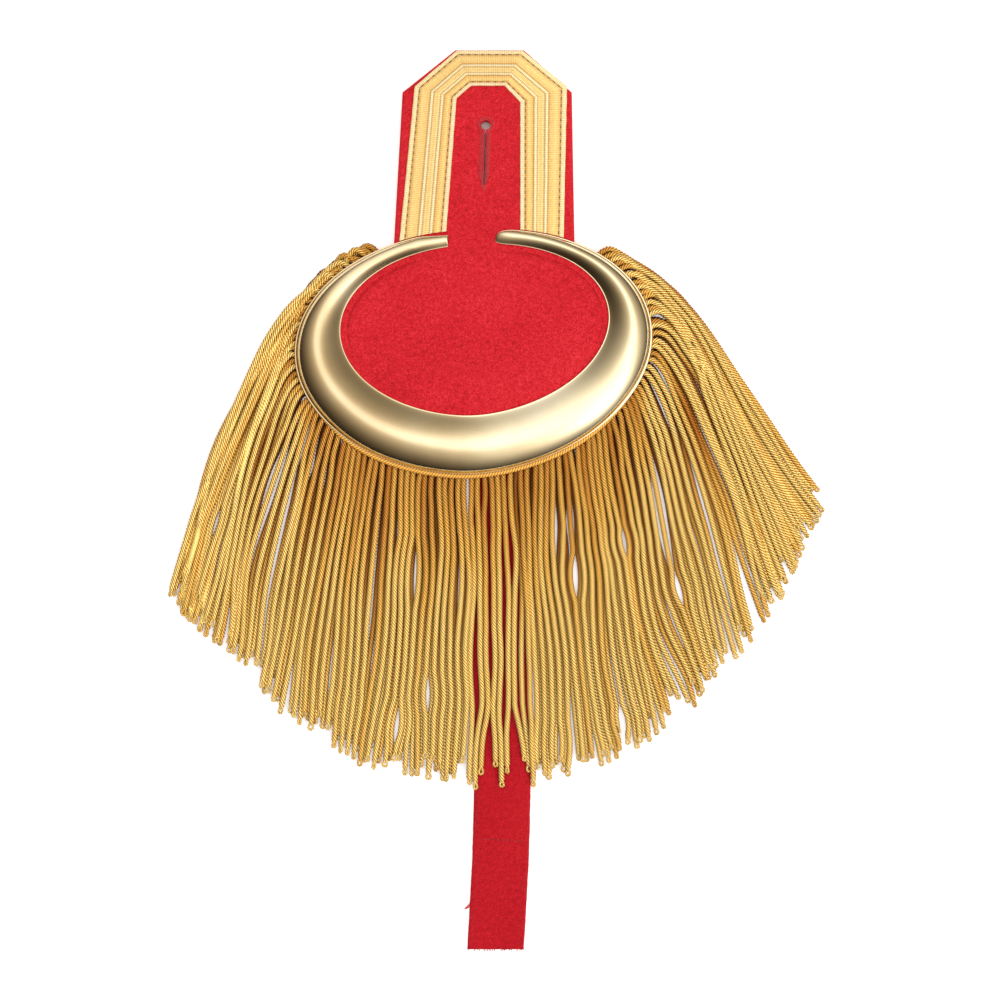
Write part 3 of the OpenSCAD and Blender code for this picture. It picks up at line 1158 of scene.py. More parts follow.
@dataclass
class LaceBorder:
    """Metal lace sewn round the strap's edge with mitred corners, and the stitches that hold it."""

    plan: Plan
    rows: tuple[tuple[float, float, float, float], ...] = (
        (-26.9, 36.0, -10.3, 36.0), (-21.1, 95.6, -6.0, 91.4), (-6.0, 108.6, -0.9, 95.9),
        (17.6, 108.6, 11.1, 95.9), (33.5, 95.7, 16.7, 90.0), (32.2, 36.0, 16.7, 36.0),
    )
    step: float = 1.1
    least_steps: int = 4
    steps_across: int = 60
    gap: float = 0.12
    thickness: float = 0.5
    foot_gap: float = 0.35
    halvings: int = 24
    relief: tuple[tuple[float, float], ...] = (
        (0.0, 0.42), (0.02, 0.62), (0.08, 0.64), (0.105, 0.42), (0.13, 0.42), (0.16, 0.66), (0.26, 0.86),
        (0.36, 0.7), (0.385, 0.55), (0.405, 0.9), (0.425, 1.0), (0.445, 0.92), (0.465, 0.6), (0.5, 0.74),
        (0.55, 0.78), (0.6, 0.72), (0.625, 0.58), (0.645, 0.9), (0.665, 1.0), (0.685, 0.9), (0.705, 0.56),
        (0.73, 0.7), (0.8, 0.88), (0.86, 0.68), (0.875, 0.42), (0.9, 0.42), (0.92, 0.64), (0.98, 0.62),
        (1.0, 0.4),
    )
    mitre_gap: float = 0.3
    mitre_depth: float = 0.16
    mitre_share: float = 0.012
    edge_share: float = 0.08
    edge_wave: float = 0.12
    edge_pace: float = 0.35
    edge_change: float = 3.0
    waves: Ripple = Ripple(0.05, 0.25, 0.25, 1.7)
    # Painted light and shade: how bright each leg of the lace looks as the light falls on it.
    tones: tuple[float, ...] = (0.5, 0.42, 0.25, 0.95, 0.7)
    leg_mark: float = 100.0
    leg_slack: float = 20.0
    thread: float = 0.34
    seams: tuple[float, float] = (0.118, 0.888)
    stitch_pitch: float = 2.5
    stitch_half: float = 0.18
    stitch_up: float = 0.07

    def corner(self, k: int, share: float) -> Vector:
        """Gives a point across the lace at one of its mitres, or at a foot, where it goes under the crescent.

        Args:
            k: Which mitre or foot, from the left foot on.
            share: How far across the lace.

        Returns:
            The point on the plan.
        """
        row = self.rows[k]
        end = Vector(row[:2]).lerp(Vector(row[2:]), share)
        if 0 < k < len(self.rows) - 1:
            return end
        mitre = self.corner(1 if k == 0 else k - 1, share)
        line = mitre - end
        low, high = 0.0, 0.5
        for _ in range(self.halvings):
            middle = (low + high) / 2
            point = mitre - line * (1 - middle)
            inside = point.y < self.plan.rim_y(point.x, self.foot_gap)
            low, high = (middle, high) if inside else (low, middle)
        return mitre - line * (1 - high)

    def stations(self) -> list[float]:
        """Spaces the cross lines, with one close to each side of a mitre.

        Returns:
            Their places in legs and shares of a leg.
        """
        marks: list[float] = []
        for leg in range(len(self.rows) - 1):
            length = (self.corner(leg + 1, 0.5) - self.corner(leg, 0.5)).length
            count = max(self.least_steps, round(length / self.step))
            near = self.mitre_gap / length
            between = [leg + near + (1 - 2 * near) * k / count for k in range(1, count)]
            marks += [leg, leg + near, *between, leg + 1 - near]
        return [*marks, float(len(self.rows) - 1)]

    def flat(self, mark: float, share: float) -> Vector:
        """Gives a point of the lace on the plan, from its place in legs and its share across."""
        leg = min(int(mark), len(self.rows) - 2)
        return self.corner(leg, share).lerp(self.corner(leg + 1, share), mark - leg)

    def place(self, mark: float, share: float) -> Vector:
        """Gives a point of the lace's woven face.

        Args:
            mark: Its place in legs and shares of a leg.
            share: How far across the lace.

        Returns:
            The point.
        """
        at = self.flat(mark, share)
        height = float(np.interp(share, *zip(*self.relief, strict=True)))
        to_mitre = min(abs(mark - k) for k in range(1, len(self.rows) - 1))
        height -= self.mitre_depth * max(0.0, 1 - to_mitre / self.mitre_share)
        edge = max(0.0, abs(share - 0.5) - (0.5 - self.edge_share)) / self.edge_share
        here = Vector((at.x * self.edge_pace, at.y * self.edge_pace, share * self.edge_change))
        wave = self.edge_wave * edge * noise.noise(here)
        inward = (self.flat(mark, 1.0) - self.flat(mark, 0.0)).normalized() * wave
        z = self.plan.top_z(at.y) + self.gap + height + self.waves.at(at.x, at.y)
        return Vector((at.x + inward.x, at.y + inward.y, z))

    def pattern(self, mark: float, share: float, middle: float) -> tuple[float, float]:
        """Gives the weave's coordinates at a corner of a face.

        Args:
            mark: The corner's place in legs and shares of a leg.
            share: How far across the lace it is.
            middle: The place of the face's middle in legs.

        Returns:
            Millimetres along the leg, counted on from leg to leg, and the share across.
        """
        leg = min(int(middle), len(self.rows) - 2)
        start, end = self.corner(leg, 0.5), self.corner(leg + 1, 0.5)
        along = (end - start).normalized()
        return leg * self.leg_mark + (self.flat(mark, share) - start).dot(along), share

    def build(self) -> None:
        """Makes the lace and its stitches."""
        across = [k / self.steps_across for k in range(self.steps_across + 1)]
        bm = Maker.grid(self.stations(), across, self.place, self.pattern)
        tones = bm.faces.layers.float.new("leg")
        layer = bm.loops.layers.uv.active
        # Stores each face's leg brightness, painted light and shade.
        for face in bm.faces:
            along = sum(loop[layer].uv.x for loop in face.loops) / len(face.loops)
            leg = int((along + self.leg_slack) // self.leg_mark)
            face[tones] = self.tones[min(max(leg, 0), len(self.tones) - 1)]
        lace = Maker.thicken(Maker.piece("lace", bm), self.thickness)
        Maker.dress(lace, WovenLace().make(), Slot.LACE, "lace_border")
        self.sew()

    def sew(self) -> None:
        """Sews the two rows of stitches that hold the lace."""
        sewn = Stitches(self.thread)
        rise = Vector((0.0, 0.0, self.stitch_up))
        for share in self.seams:
            for leg in range(len(self.rows) - 1):
                length = (self.corner(leg + 1, share) - self.corner(leg, share)).length
                count = max(2, round(length / self.stitch_pitch))
                for k in range(count):
                    mark = leg + (k + 0.5) / count
                    half = self.stitch_half / count
                    sewn.sew(self.place(mark - half, share) + rise, self.place(mark + half, share) + rise)
        thread = SpunThread("dark_sewing_thread", "2b1c12", "6a4a2a").make()
        Maker.dress(sewn.finish("lace_stitches"), thread, Slot.LACE)


@dataclass
class Buttonhole:
    """Thread worked closely round the eyelet and down both sides of the slit, with a tack at its foot."""

    plan: Plan
    hole_r: float = 1.75
    ring_w: float = 1.25
    ring_in: float = 0.1
    ring_stitches: int = 26
    ring_up: tuple[float, float] = (0.16, 0.14)
    bar_in: float = 0.42
    bar_w: float = 1.5
    bar_slant: float = 0.12
    bar_up: tuple[float, float] = (0.2, 0.1)
    narrow_from: float = 0.82
    narrow_by: float = 0.75
    tacks: int = 5
    tack_half: float = 0.9
    tack_narrow: float = 0.1
    tack_step: float = 0.35
    tack_up: float = 0.12
    thread: float = 0.42
    pitch: float = 0.46

    def at(self, x: float, y: float, up: float) -> Vector:
        """Gives a point in the buttonhole's own directions.

        Args:
            x: How far to the right of the slit.
            y: How far above the eyelet's middle.
            up: How high over the strap's cloth.

        Returns:
            The point.
        """
        lean = self.plan.slit_lean
        wx = self.plan.eyelet[0] + x * cosine(lean) - y * sine(lean)
        wy = self.plan.eyelet[1] + x * sine(lean) + y * cosine(lean)
        return Vector((wx, wy, self.plan.top_z(wy) + up))

    def build(self) -> None:
        """Works the stitches."""
        sewn = Stitches(self.thread)
        inner, outer = self.hole_r + self.ring_in, self.hole_r + self.ring_w
        for k in range(self.ring_stitches):
            turn = 2 * math.pi * k / self.ring_stitches
            x, y = math.cos(turn), math.sin(turn)
            start = self.at(inner * x, inner * y, self.ring_up[0])
            sewn.sew(start, self.at(outer * x, outer * y, self.ring_up[1]))
        rows = int((self.plan.slit_l - self.ring_w) / self.pitch)
        for k in range(rows):
            y = -self.hole_r - self.ring_w - k * self.pitch
            far = self.bar_in + self.bar_w * (1 - self.narrow_by * ease(k / rows, self.narrow_from, 1.0))
            for side in (-1.0, 1.0):
                start = self.at(side * self.bar_in, y, self.bar_up[0])
                sewn.sew(start, self.at(side * far, y - self.bar_slant, self.bar_up[1]))
        foot = -self.hole_r - self.plan.slit_l
        for k in range(self.tacks):
            x, y = self.tack_half - self.tack_narrow * k, foot - self.tack_step * k
            sewn.sew(self.at(-x, y, self.tack_up), self.at(x, y, self.tack_up))
        thread = SpunThread("red_buttonhole_thread", "a30d1c", "d92a38").make()
        Maker.dress(sewn.finish("buttonhole_thread"), thread, Slot.THREAD, "buttonhole_stitching")


@dataclass
class Crescent:
    """The pressed crescent: a hollow half-round with a flat lip along each edge and closed horns."""

    plan: Plan
    start: float = 98.0
    end: float = 442.0
    steps_along: int = 300
    steps_over: int = 36
    lip: float = 0.9
    lip_least: float = 0.15
    lip_lost: float = 0.85
    lip_front: tuple[float, float] = (0.45, 0.9)
    inner_lip: float = 0.35
    inner_least: float = 0.12
    full_width: tuple[float, float] = (4.5, 11.0)
    lip_share: float = 0.05
    lip_lines: tuple[float, ...] = (0.0, 0.012, 0.03)
    wall: float = 0.6
    shell: float = 0.54
    rise: float = 0.5
    ratio: float = 0.22
    lean: float = 1.22
    bow: float = 0.2
    horn_bend: float = 1.2
    horn_reach: float = 12.0
    inner_turn: float = 3.2
    inner_reach: float = 16.0
    left_cap: float = 0.9
    right_cap: float = 6.0
    cap_width: float = 0.35
    cap_height: float = 0.08
    seam: float = 0.1
    dents: Ripple = Ripple(0.035, 0.07, 0.07, 0.4)

    def across(self) -> list[float]:
        """Spaces the lines across the section: the lips' edges, then evenly over the arch.

        Returns:
            Their shares of the section.
        """
        arch = [0.5 - 0.5 * math.cos(math.pi * k / self.steps_over) for k in range(self.steps_over + 1)]
        over = [self.lip_share + (1 - 2 * self.lip_share) * share for share in arch]
        return [*self.lip_lines, *over, *(1 - share for share in reversed(self.lip_lines))]

    def along(self) -> list[float]:
        """Spaces the sections, closer towards both horns."""
        return [0.5 - 0.5 * math.cos(math.pi * k / self.steps_along) for k in range(self.steps_along + 1)]

    def horn(self, deg: float) -> float:
        """Gives how far a section keeps its size near the horns' closed ends.

        Args:
            deg: The angle round the oval.

        Returns:
            A share from 0 at the end to 1.
        """
        mm_per_deg = self.plan.oval_a * math.pi / 180
        from_left = (deg - self.start) * mm_per_deg / self.left_cap
        from_right = (self.end - deg) * mm_per_deg / self.right_cap
        t = min(1.0, from_left, from_right)
        return math.sqrt(max(0.0, 1 - (1 - t) ** 2))

    def section(self, v: float, w: float, low: float) -> tuple[float, float]:
        """Gives a point of the section.

        Args:
            v: How far across it, as a share.
            w: Its width.
            low: How near the crescent's front it is, from 0 to 1, where the outer lip is narrower.

        Returns:
            The distance from the outer edge and the height over the pad.
        """
        full = ease(w, *self.full_width)
        lip = self.lip_least + (self.lip * (1 - self.lip_lost * low) - self.lip_least) * full
        inner_lip = self.inner_least + (self.inner_lip - self.inner_least) * full
        if v < self.lip_share:
            return lip * v / self.lip_share, self.wall
        if v > 1 - self.lip_share:
            return w - inner_lip * (1 - v) / self.lip_share, self.wall
        t = (v - self.lip_share) / (1 - 2 * self.lip_share) * 2 - 1
        x = lip + (w - lip - inner_lip) * ((1 + t) / 2) ** self.lean
        arch = max(0.0, 1 - t * t) ** (1 + self.bow * t)
        return x, self.wall + (self.ratio * w + self.rise - self.wall) * arch

    def place(self, u: float, v: float) -> Vector:
        """Gives a point of the crescent's face.

        Args:
            u: How far along from the left horn, as a share.
            v: How far across, as a share.

        Returns:
            The point.
        """
        deg = self.start + (self.end - self.start) * u
        bend = self.horn_bend * (1 - ease(deg, self.start, self.start + self.horn_reach))
        turn = self.inner_turn * max(0.0, 1 - (deg - self.start) / self.inner_reach)
        outer, inner = self.plan.rim(deg, -bend), self.plan.inner_edge(deg + turn)
        w = (inner - outer).length
        keep = self.horn(deg)
        x, z = self.section(v, w, ease(-sine(deg), *self.lip_front))
        spread = self.cap_width + (1 - self.cap_width) * keep if deg > 270 else 1.0
        at = outer.lerp(inner, (w / 2 + (x - w / 2) * spread) / w)
        dent = self.dents.at(at.x, at.y) if z > self.wall else 0.0
        shown = self.cap_height + (1 - self.cap_height) * keep
        return Vector((at.x, at.y, self.plan.pad_t + self.seam + z * shown + dent))

    def build(self) -> None:
        """Makes the crescent."""
        bm = Maker.grid(self.along(), self.across(), self.place)
        crescent = Maker.thicken(Maker.piece("crescent_metal", bm), self.shell)
        Maker.dress(crescent, PolishedMetal().make(), Slot.METAL, "crescent")


@dataclass
class EdgeCord:
    """The twisted cord sewn along the crescent's outer edge."""

    plan: Plan
    start: float = 120.0
    end: float = 408.0
    points: int = 400
    lay: CordLay = CordLay(radius=0.95, plies=3, pitch=-3.2, ring_turn=36.0, hollow=0.84)
    shade: float = 0.95
    tucked_in: float = 1.0
    shown_out: float = 1.85
    tucked_z: float = 4.95
    shown_up: float = 1.4
    front: tuple[float, float] = (0.35, 0.9)

    def place(self, deg: float) -> tuple[float, float, float]:
        """Gives a point of the cord, which tucks under the lip at the sides and shows in full at the front.

        Args:
            deg: The angle round the oval.

        Returns:
            The point.
        """
        shown = ease(-sine(deg), *self.front)
        at = self.plan.rim(deg, self.shown_out * shown - self.tucked_in)
        return at.x, at.y, self.tucked_z + self.shown_up * shown

    def build(self) -> None:
        """Lays the cord."""
        angles = np.linspace(self.start, self.end, self.points)
        path = np.array([self.place(float(deg)) for deg in angles])
        made = CordMaker(self.lay).make("twisted_edge_cord", [CordRun(path, self.shade)])
        # The cord's orange, with painted highlights on the plies' crowns and painted shade in their grooves.
        finish = TwistedGold("orange_edge_cord", plies=((0.2, "b4701e"), (0.46, "eda63c"), (0.74, "f7c868")))
        Maker.dress(made, finish.make(), Slot.CORD, "edge_cord")


@dataclass(frozen=True)
class Parting:
    """A place where strands stand apart: its middle, half length and half width in millimetres."""

    x: float
    y: float
    half_l: float
    half_w: float


@dataclass(frozen=True)
class Drift:
    """A smooth drift: how many strands share it, its knots along a strand and its usual size."""

    group: float
    knots: int
    size: float

    def draw(self, rng: np.random.Generator, count: int, stations: int) -> np.ndarray:
        """Draws the drift.

        Args:
            rng: Draws the knots.
            count: How many strands there are.
            stations: How many points each has.

        Returns:
            The drift of each strand at each station.
        """
        short = 1.001
        knots = rng.normal(0.0, self.size, (int(count / self.group) + 3, self.knots + 2))
        rows = np.linspace(0, knots.shape[0] - short, count)
        cols = np.linspace(0, knots.shape[1] - short, stations)
        i, j = rows.astype(int), cols.astype(int)
        down, right = ((1 - np.cos(math.pi * (at - np.floor(at)))) / 2 for at in (rows, cols))
        down = down[:, None]
        near, far = (knots[i][:, k] * (1 - down) + knots[i + 1][:, k] * down for k in (j, j + 1))
        return near * (1 - right) + far * right


@dataclass(frozen=True)
class ToneAndShade:
    """How a kind of strand is coloured: its own tone, with painted shade on it.

    Its tone and how far that strays at random, the length over which the painted shade near the rim lifts,
    its light at the rim, and how far painted shade darkens it where it runs hidden on the way. What ends in
    front is added or taken off at the fringe's front.
    """

    tone: float
    stray: float
    dim: float
    dim_front: float
    deep: float
    deep_front: float = 0.0
    hidden: float = 0.0

    def run(self, path: np.ndarray, stray: float, phase: float, front: float) -> CordRun:
        """Makes a strand's run.

        Args:
            path: The points that it follows.
            stray: How far its tone strays, from 0 to 1.
            phase: Its turn in radians.
            front: How near the fringe's front it leaves the rim, from 0 to 1.

        Returns:
            The run.
        """
        return CordRun(path, self.tone + self.stray * stray, phase, dim=self.dim + self.dim_front * front,
                       deep=self.deep - self.deep_front * front, hidden=self.hidden * (1 - front))


@dataclass
class StrandPlan:
    """The ways of the fringe's strands on the plan, from under the crescent to their tips.

    A guide gives the angle at the rim, the tip's x and y, the way at the rim in degrees and how far it is
    kept, and the way at the tip and how far it is kept.
    """

    plan: Plan
    upper_count: int = 113
    stations: int = 90
    marks: int = 400
    root_in: float = 1.2
    root_stray: float = 0.22
    root_turn: float = 4.0
    root_reach: tuple[float, float] = (0.85, 1.2)
    calm_reach: float = 12.0
    guides: tuple[tuple[float, ...], ...] = (
        (122, -106.7, -78.9, 196, 36, 246.5, 62), (145, -105, -90, 196, 16, 257, 62),
        (160, -103, -94.5, 192, 12, 256, 54), (180, -97.3, -100.8, 197, 11, 256, 46),
        (200, -88.2, -107.2, 212, 9, 255, 50), (220, -68.7, -130.4, 250, 11, 259, 37),
        (240, -43, -146.5, 263, 15, 263, 35), (270, 0, -155.4, 270, 30, 270, 30),
        (290, 26, -154.2, 273, 27, 273, 30), (310, 56.6, -142.9, 283, 16, 278, 34),
        (331, 83.5, -120.2, 306, 12, 284, 44), (345, 98.4, -106, 330, 12, 287, 58),
        (360, 112.8, -87.2, 353, 12.2, 293, 69), (385, 117.4, -75.2, 358, 19.0, 293, 65),
        (406, 127.1, -52.4, 353, 39.0, 315, 47.5),
    )
    drifts: tuple[Drift, Drift, Drift] = (Drift(10.0, 2, 1.9), Drift(2.0, 3, 1.05), Drift(1.0, 9, 0.45))
    calm_right: tuple[float, float] = (365.0, 390.0)
    calm_by: float = 0.6
    side_swing: float = 0.35
    swing_power: float = 0.8
    fine_rise: float = 14.0
    fine_fall: float = 2.5
    left_side: tuple[float, float] = (160.0, 145.0)
    right_side: tuple[float, float] = (375.0, 395.0)
    arch: float = 3.0
    arch_at: float = 5.5
    arch_power: float = 0.8
    arch_left: float = 0.8
    arch_lost: float = 0.3
    arch_stray: tuple[float, float] = (0.2, 0.4)
    bump: float = 2.6
    bump_at: float = 3.0
    bump_right: float = 0.45
    bump_stray: tuple[float, float] = (0.5, 1.5)
    partings: tuple[Parting, ...] = (
        Parting(-21.0, -78.0, 14.0, 1.5), Parting(-5.6, -88.0, 17.0, 1.0), Parting(36.7, -80.0, 9.0, 1.6),
        Parting(-28.0, -132.0, 9.0, 1.6), Parting(-16.0, -122.0, 8.0, 1.5), Parting(-92.8, -60.6, 8.0, 0.9),
        Parting(73.3, -85.0, 7.0, 1.4), Parting(53.6, -68.0, 6.0, 1.4), Parting(52.9, -132.0, 6.0, 1.6),
        Parting(1.6, -108.0, 26.0, 1.1), Parting(7.0, -112.0, 14.0, 0.9), Parting(5.8, -144.0, 18.0, 2.6),
        Parting(15.6, -150.0, 24.0, 2.8), Parting(-44.0, -128.0, 9.0, 1.3), Parting(31.0, -140.0, 9.0, 1.2),
    )
    parting_slant: float = 0.0035
    parting_power: float = 1.2
    parting_reach: float = 4.0
    rounds: int = 30
    near: float = 1.5
    give: float = 3.0
    smoothings: int = 4

    def root_angles(self, rng: np.random.Generator) -> np.ndarray:
        """Spaces the strands of both rows along the rim, an upper and a lower one by turns.

        Args:
            rng: Draws their slight unevenness.

        Returns:
            The angles at which they leave the rim, in degrees.
        """
        angles = np.linspace(self.guides[0][0], self.guides[-1][0], self.marks)
        marks = lengths(np.array([self.plan.rim(float(deg))[:] for deg in angles]))
        count = 2 * self.upper_count - 1
        places = (np.arange(count) + 0.5 + rng.uniform(-self.root_stray, self.root_stray, count)) / count
        return np.interp(places * marks[-1], marks, angles)

    def flow(self, deg: float, turn: float = 0.0, reach: float = 1.0) -> np.ndarray:
        """Draws the curve that a strand follows.

        Args:
            deg: The angle at which it leaves the rim.
            turn: How far it leaves askew, in degrees.
            reach: How far it keeps its first way, as a share of the usual.

        Returns:
            Points from the rim to the tip.
        """
        table = np.array(self.guides, float)
        guide = [float(np.interp(deg, table[:, 0], table[:, k])) for k in range(1, 7)]
        x, y, way0, reach0, way1, reach1 = guide
        calm = min(1.0, self.calm_reach / reach0)
        turn, reach = turn * calm, 1.0 + (reach - 1.0) * calm
        root = np.array(self.plan.rim(deg, -self.root_in))
        tip = np.array((x, y))
        first = root + reach0 * reach * np.array((cosine(way0 + turn), sine(way0 + turn)))
        last = tip - reach1 * np.array((cosine(way1), sine(way1)))
        u = np.linspace(0, 1, self.stations)[:, None]
        return root * (1 - u) ** 3 + first * 3 * u * (1 - u) ** 2 + last * 3 * u * u * (1 - u) + tip * u**3

    def lines(self, angles: np.ndarray, rng: np.random.Generator) -> np.ndarray:
        """Draws the strands of both rows before they settle.

        Args:
            angles: The angles at which they leave the rim.
            rng: Draws their unevenness.

        Returns:
            Their points.
        """
        common, own, fine = (drift.draw(rng, len(angles), self.stations) for drift in self.drifts)
        u = np.linspace(0, 1, self.stations)
        made = []
        for k, angle in enumerate(angles):
            deg = float(angle)
            line = self.flow(deg, rng.normal(0.0, self.root_turn), rng.uniform(*self.root_reach))
            swing = 1 - self.calm_by * ease(deg, *self.calm_right)
            swing *= 1 + self.side_swing * abs(cosine(deg))
            wave = swing * (common[k] + own[k]) * u**self.swing_power
            wave += fine[k] * np.minimum(1.0, u * self.fine_rise) * (1 - u) ** self.fine_fall
            line = line + left_of(unit(np.gradient(line, axis=0))) * wave[:, None]
            made.append(self.part(self.raised(line, deg, rng)))
        return np.stack(made)

    def raised(self, line: np.ndarray, deg: float, rng: np.random.Generator) -> np.ndarray:
        """Bends a strand over its root, where it rises out of the rim before it falls.

        Args:
            line: The strand's points.
            deg: The angle at which it leaves the rim.
            rng: Draws how far it rises.

        Returns:
            The points moved.
        """
        steps = lengths(line)
        edge, beyond = self.plan.rim(deg), self.plan.rim(deg, 1.0)
        way = (beyond - edge).normalized().x
        left, right = ease(deg, *self.left_side), ease(deg, *self.right_side)
        stray = 1 + (self.arch_stray[0] + self.arch_stray[1] * max(left, right)) * rng.uniform(-1, 1)
        arch = self.arch * abs(way) ** self.arch_power * stray
        arch *= 1.0 - self.arch_lost * right if way > 0 else self.arch_left
        bump = self.bump * (left + self.bump_right * right) * rng.uniform(*self.bump_stray)
        line[:, 1] += arch * swell(steps, self.arch_at)
        return line + (bump * swell(steps, self.bump_at))[:, None] * (np.array(beyond) - np.array(edge))

    def part(self, line: np.ndarray) -> np.ndarray:
        """Pushes a strand away from the partings, each of which runs along the fringe's own slant.

        Args:
            line: The strand's points.

        Returns:
            The points moved.
        """
        moved = line.copy()
        for gap in self.partings:
            way = unit(np.array((gap.x * self.parting_slant, -1.0)))
            side = left_of(way)
            offset = moved - np.array((gap.x, gap.y))
            along, beside = offset @ way, offset @ side
            sign = 1.0 if beside[np.argmin(np.abs(along))] > 0 else -1.0
            share = np.clip(1 - (along / gap.half_l) ** 2, 0.0, 1.0) ** self.parting_power
            push = gap.half_w * np.exp(-np.abs(beside) / self.parting_reach) + np.maximum(0.0, -sign * beside)
            moved += (sign * push * share)[:, None] * side
        return moved

    def settle(self, lines: np.ndarray, spacing: float, soft: np.ndarray) -> np.ndarray:
        """Moves neighbouring strands apart until they lie side by side.

        Args:
            lines: The strands' points, in the order in which they lie.
            spacing: The distance that neighbours keep.
            soft: How freely each station may move, from 0 at the rim to 1, for all pairs or for each.

        Returns:
            The points moved.
        """
        moved = lines.copy()
        for _ in range(self.rounds):
            side = unit(left_of(np.gradient(moved, axis=1)))
            between = moved[1:] - moved[:-1]
            across = (between * side[:-1]).sum(-1)
            near = np.linalg.norm(between, axis=-1) < self.near * spacing
            push = (np.clip(spacing - across, 0.0, spacing) * soft * near / self.give)[..., None]
            moved[1:] += side[1:] * push
            moved[:-1] -= side[:-1] * push
        shift = moved - lines
        for _ in range(self.smoothings):
            shift[:, 1:-1] = (shift[:, :-2] + 2 * shift[:, 1:-1] + shift[:, 2:]) / 4
        return lines + shift


@dataclass(frozen=True)
class StrandHeights:
    """How high the strands lie over the table, in millimetres."""

    lower_root: float = 2.2
    lower_drop: float = 0.8
    lower_drop_over: float = 6.0
    lower_tip: float = 0.5
    upper_root: float = 4.75
    upper_fall: float = 1.75
    on_top: float = 0.55
    under: float = 1.9
    under_lost: float = 0.5
    sinks_over: float = 9.0
    dive: float = 1.6
    dive_at: float = 12.0
    dive_over: float = 7.0
    dive_left: tuple[float, float] = (188.0, 160.0)
    dive_right: tuple[float, float] = (388.0, 398.0)
    lift: Drift = Drift(1.0, 5, 0.35)
    lift_upper: float = 0.8
    lift_lower: float = 0.3
    lift_over: float = 5.0
    least: float = 1.3
    most: float = 6.0

    def usual(self, u: np.ndarray, steps: np.ndarray, deg: float, upper: bool, on_top: bool) -> np.ndarray:
        """Gives a strand's usual height along its way.

        Args:
            u: Its stations' shares of the way.
            steps: Its length up to each station.
            deg: The angle at which it leaves the rim.
            upper: Whether it belongs to the upper row.
            on_top: Whether it lies on top of that row.

        Returns:
            The heights.
        """
        if not upper:
            drop = self.lower_drop * np.minimum(1.0, u * self.lower_drop_over)
            return self.lower_root - drop + self.lower_tip * u**2
        offset = self.on_top * (1 - u) if on_top else -self.under * (1 - self.under_lost * u)
        sunk = 1 - bell(steps, 0.0, self.sinks_over)
        side = max(ease(deg, *self.dive_left), ease(deg, *self.dive_right))
        dive = self.dive * side * bell(steps, self.dive_at, self.dive_over)
        return self.upper_root - self.upper_fall * u + offset * sunk - dive


@dataclass(frozen=True)
class TipLoop:
    """The small loop at a strand's tip, in millimetres."""

    roll: float = 0.9
    length: tuple[float, float] = (2.2, 3.2)
    half_w: tuple[float, float] = (0.62, 0.95)
    points: int = 15
    hidden: float = 1.6
    longer: float = 0.6
    reach_power: float = 0.8
    swing_power: float = 0.3
    least_z: float = 0.65
    taper: float = 0.01

    def draw(self, run: CordRun, rng: np.random.Generator) -> CordRun:
        """Draws a strand's loop.

        Args:
            run: The strand.
            rng: Draws the loop's size and turn.

        Returns:
            The loop's run.
        """
        tip, before = run.path[-1], run.path[-4]
        along = unit(tip - before)
        beside = unit(np.array((-along[1], along[0], 0.0)))
        roll = rng.uniform(-self.roll, self.roll)
        beside = beside * math.cos(roll) + np.array((0.0, 0.0, 1.0)) * math.sin(roll)
        length, half = rng.uniform(*self.length), rng.uniform(*self.half_w)
        t = np.linspace(0, 1, self.points)[:, None]
        rise = np.sin(math.pi * t)
        reach = (length + self.longer) * rise**self.reach_power - self.hidden
        swing = half * np.sin(2 * math.pi * (t - 0.5)) * np.abs(rise) ** self.swing_power
        path = tip + along * reach + beside * swing
        path[:, 2] = np.maximum(path[:, 2], self.least_z)
        return CordRun(path, run.shade, taper=self.taper)


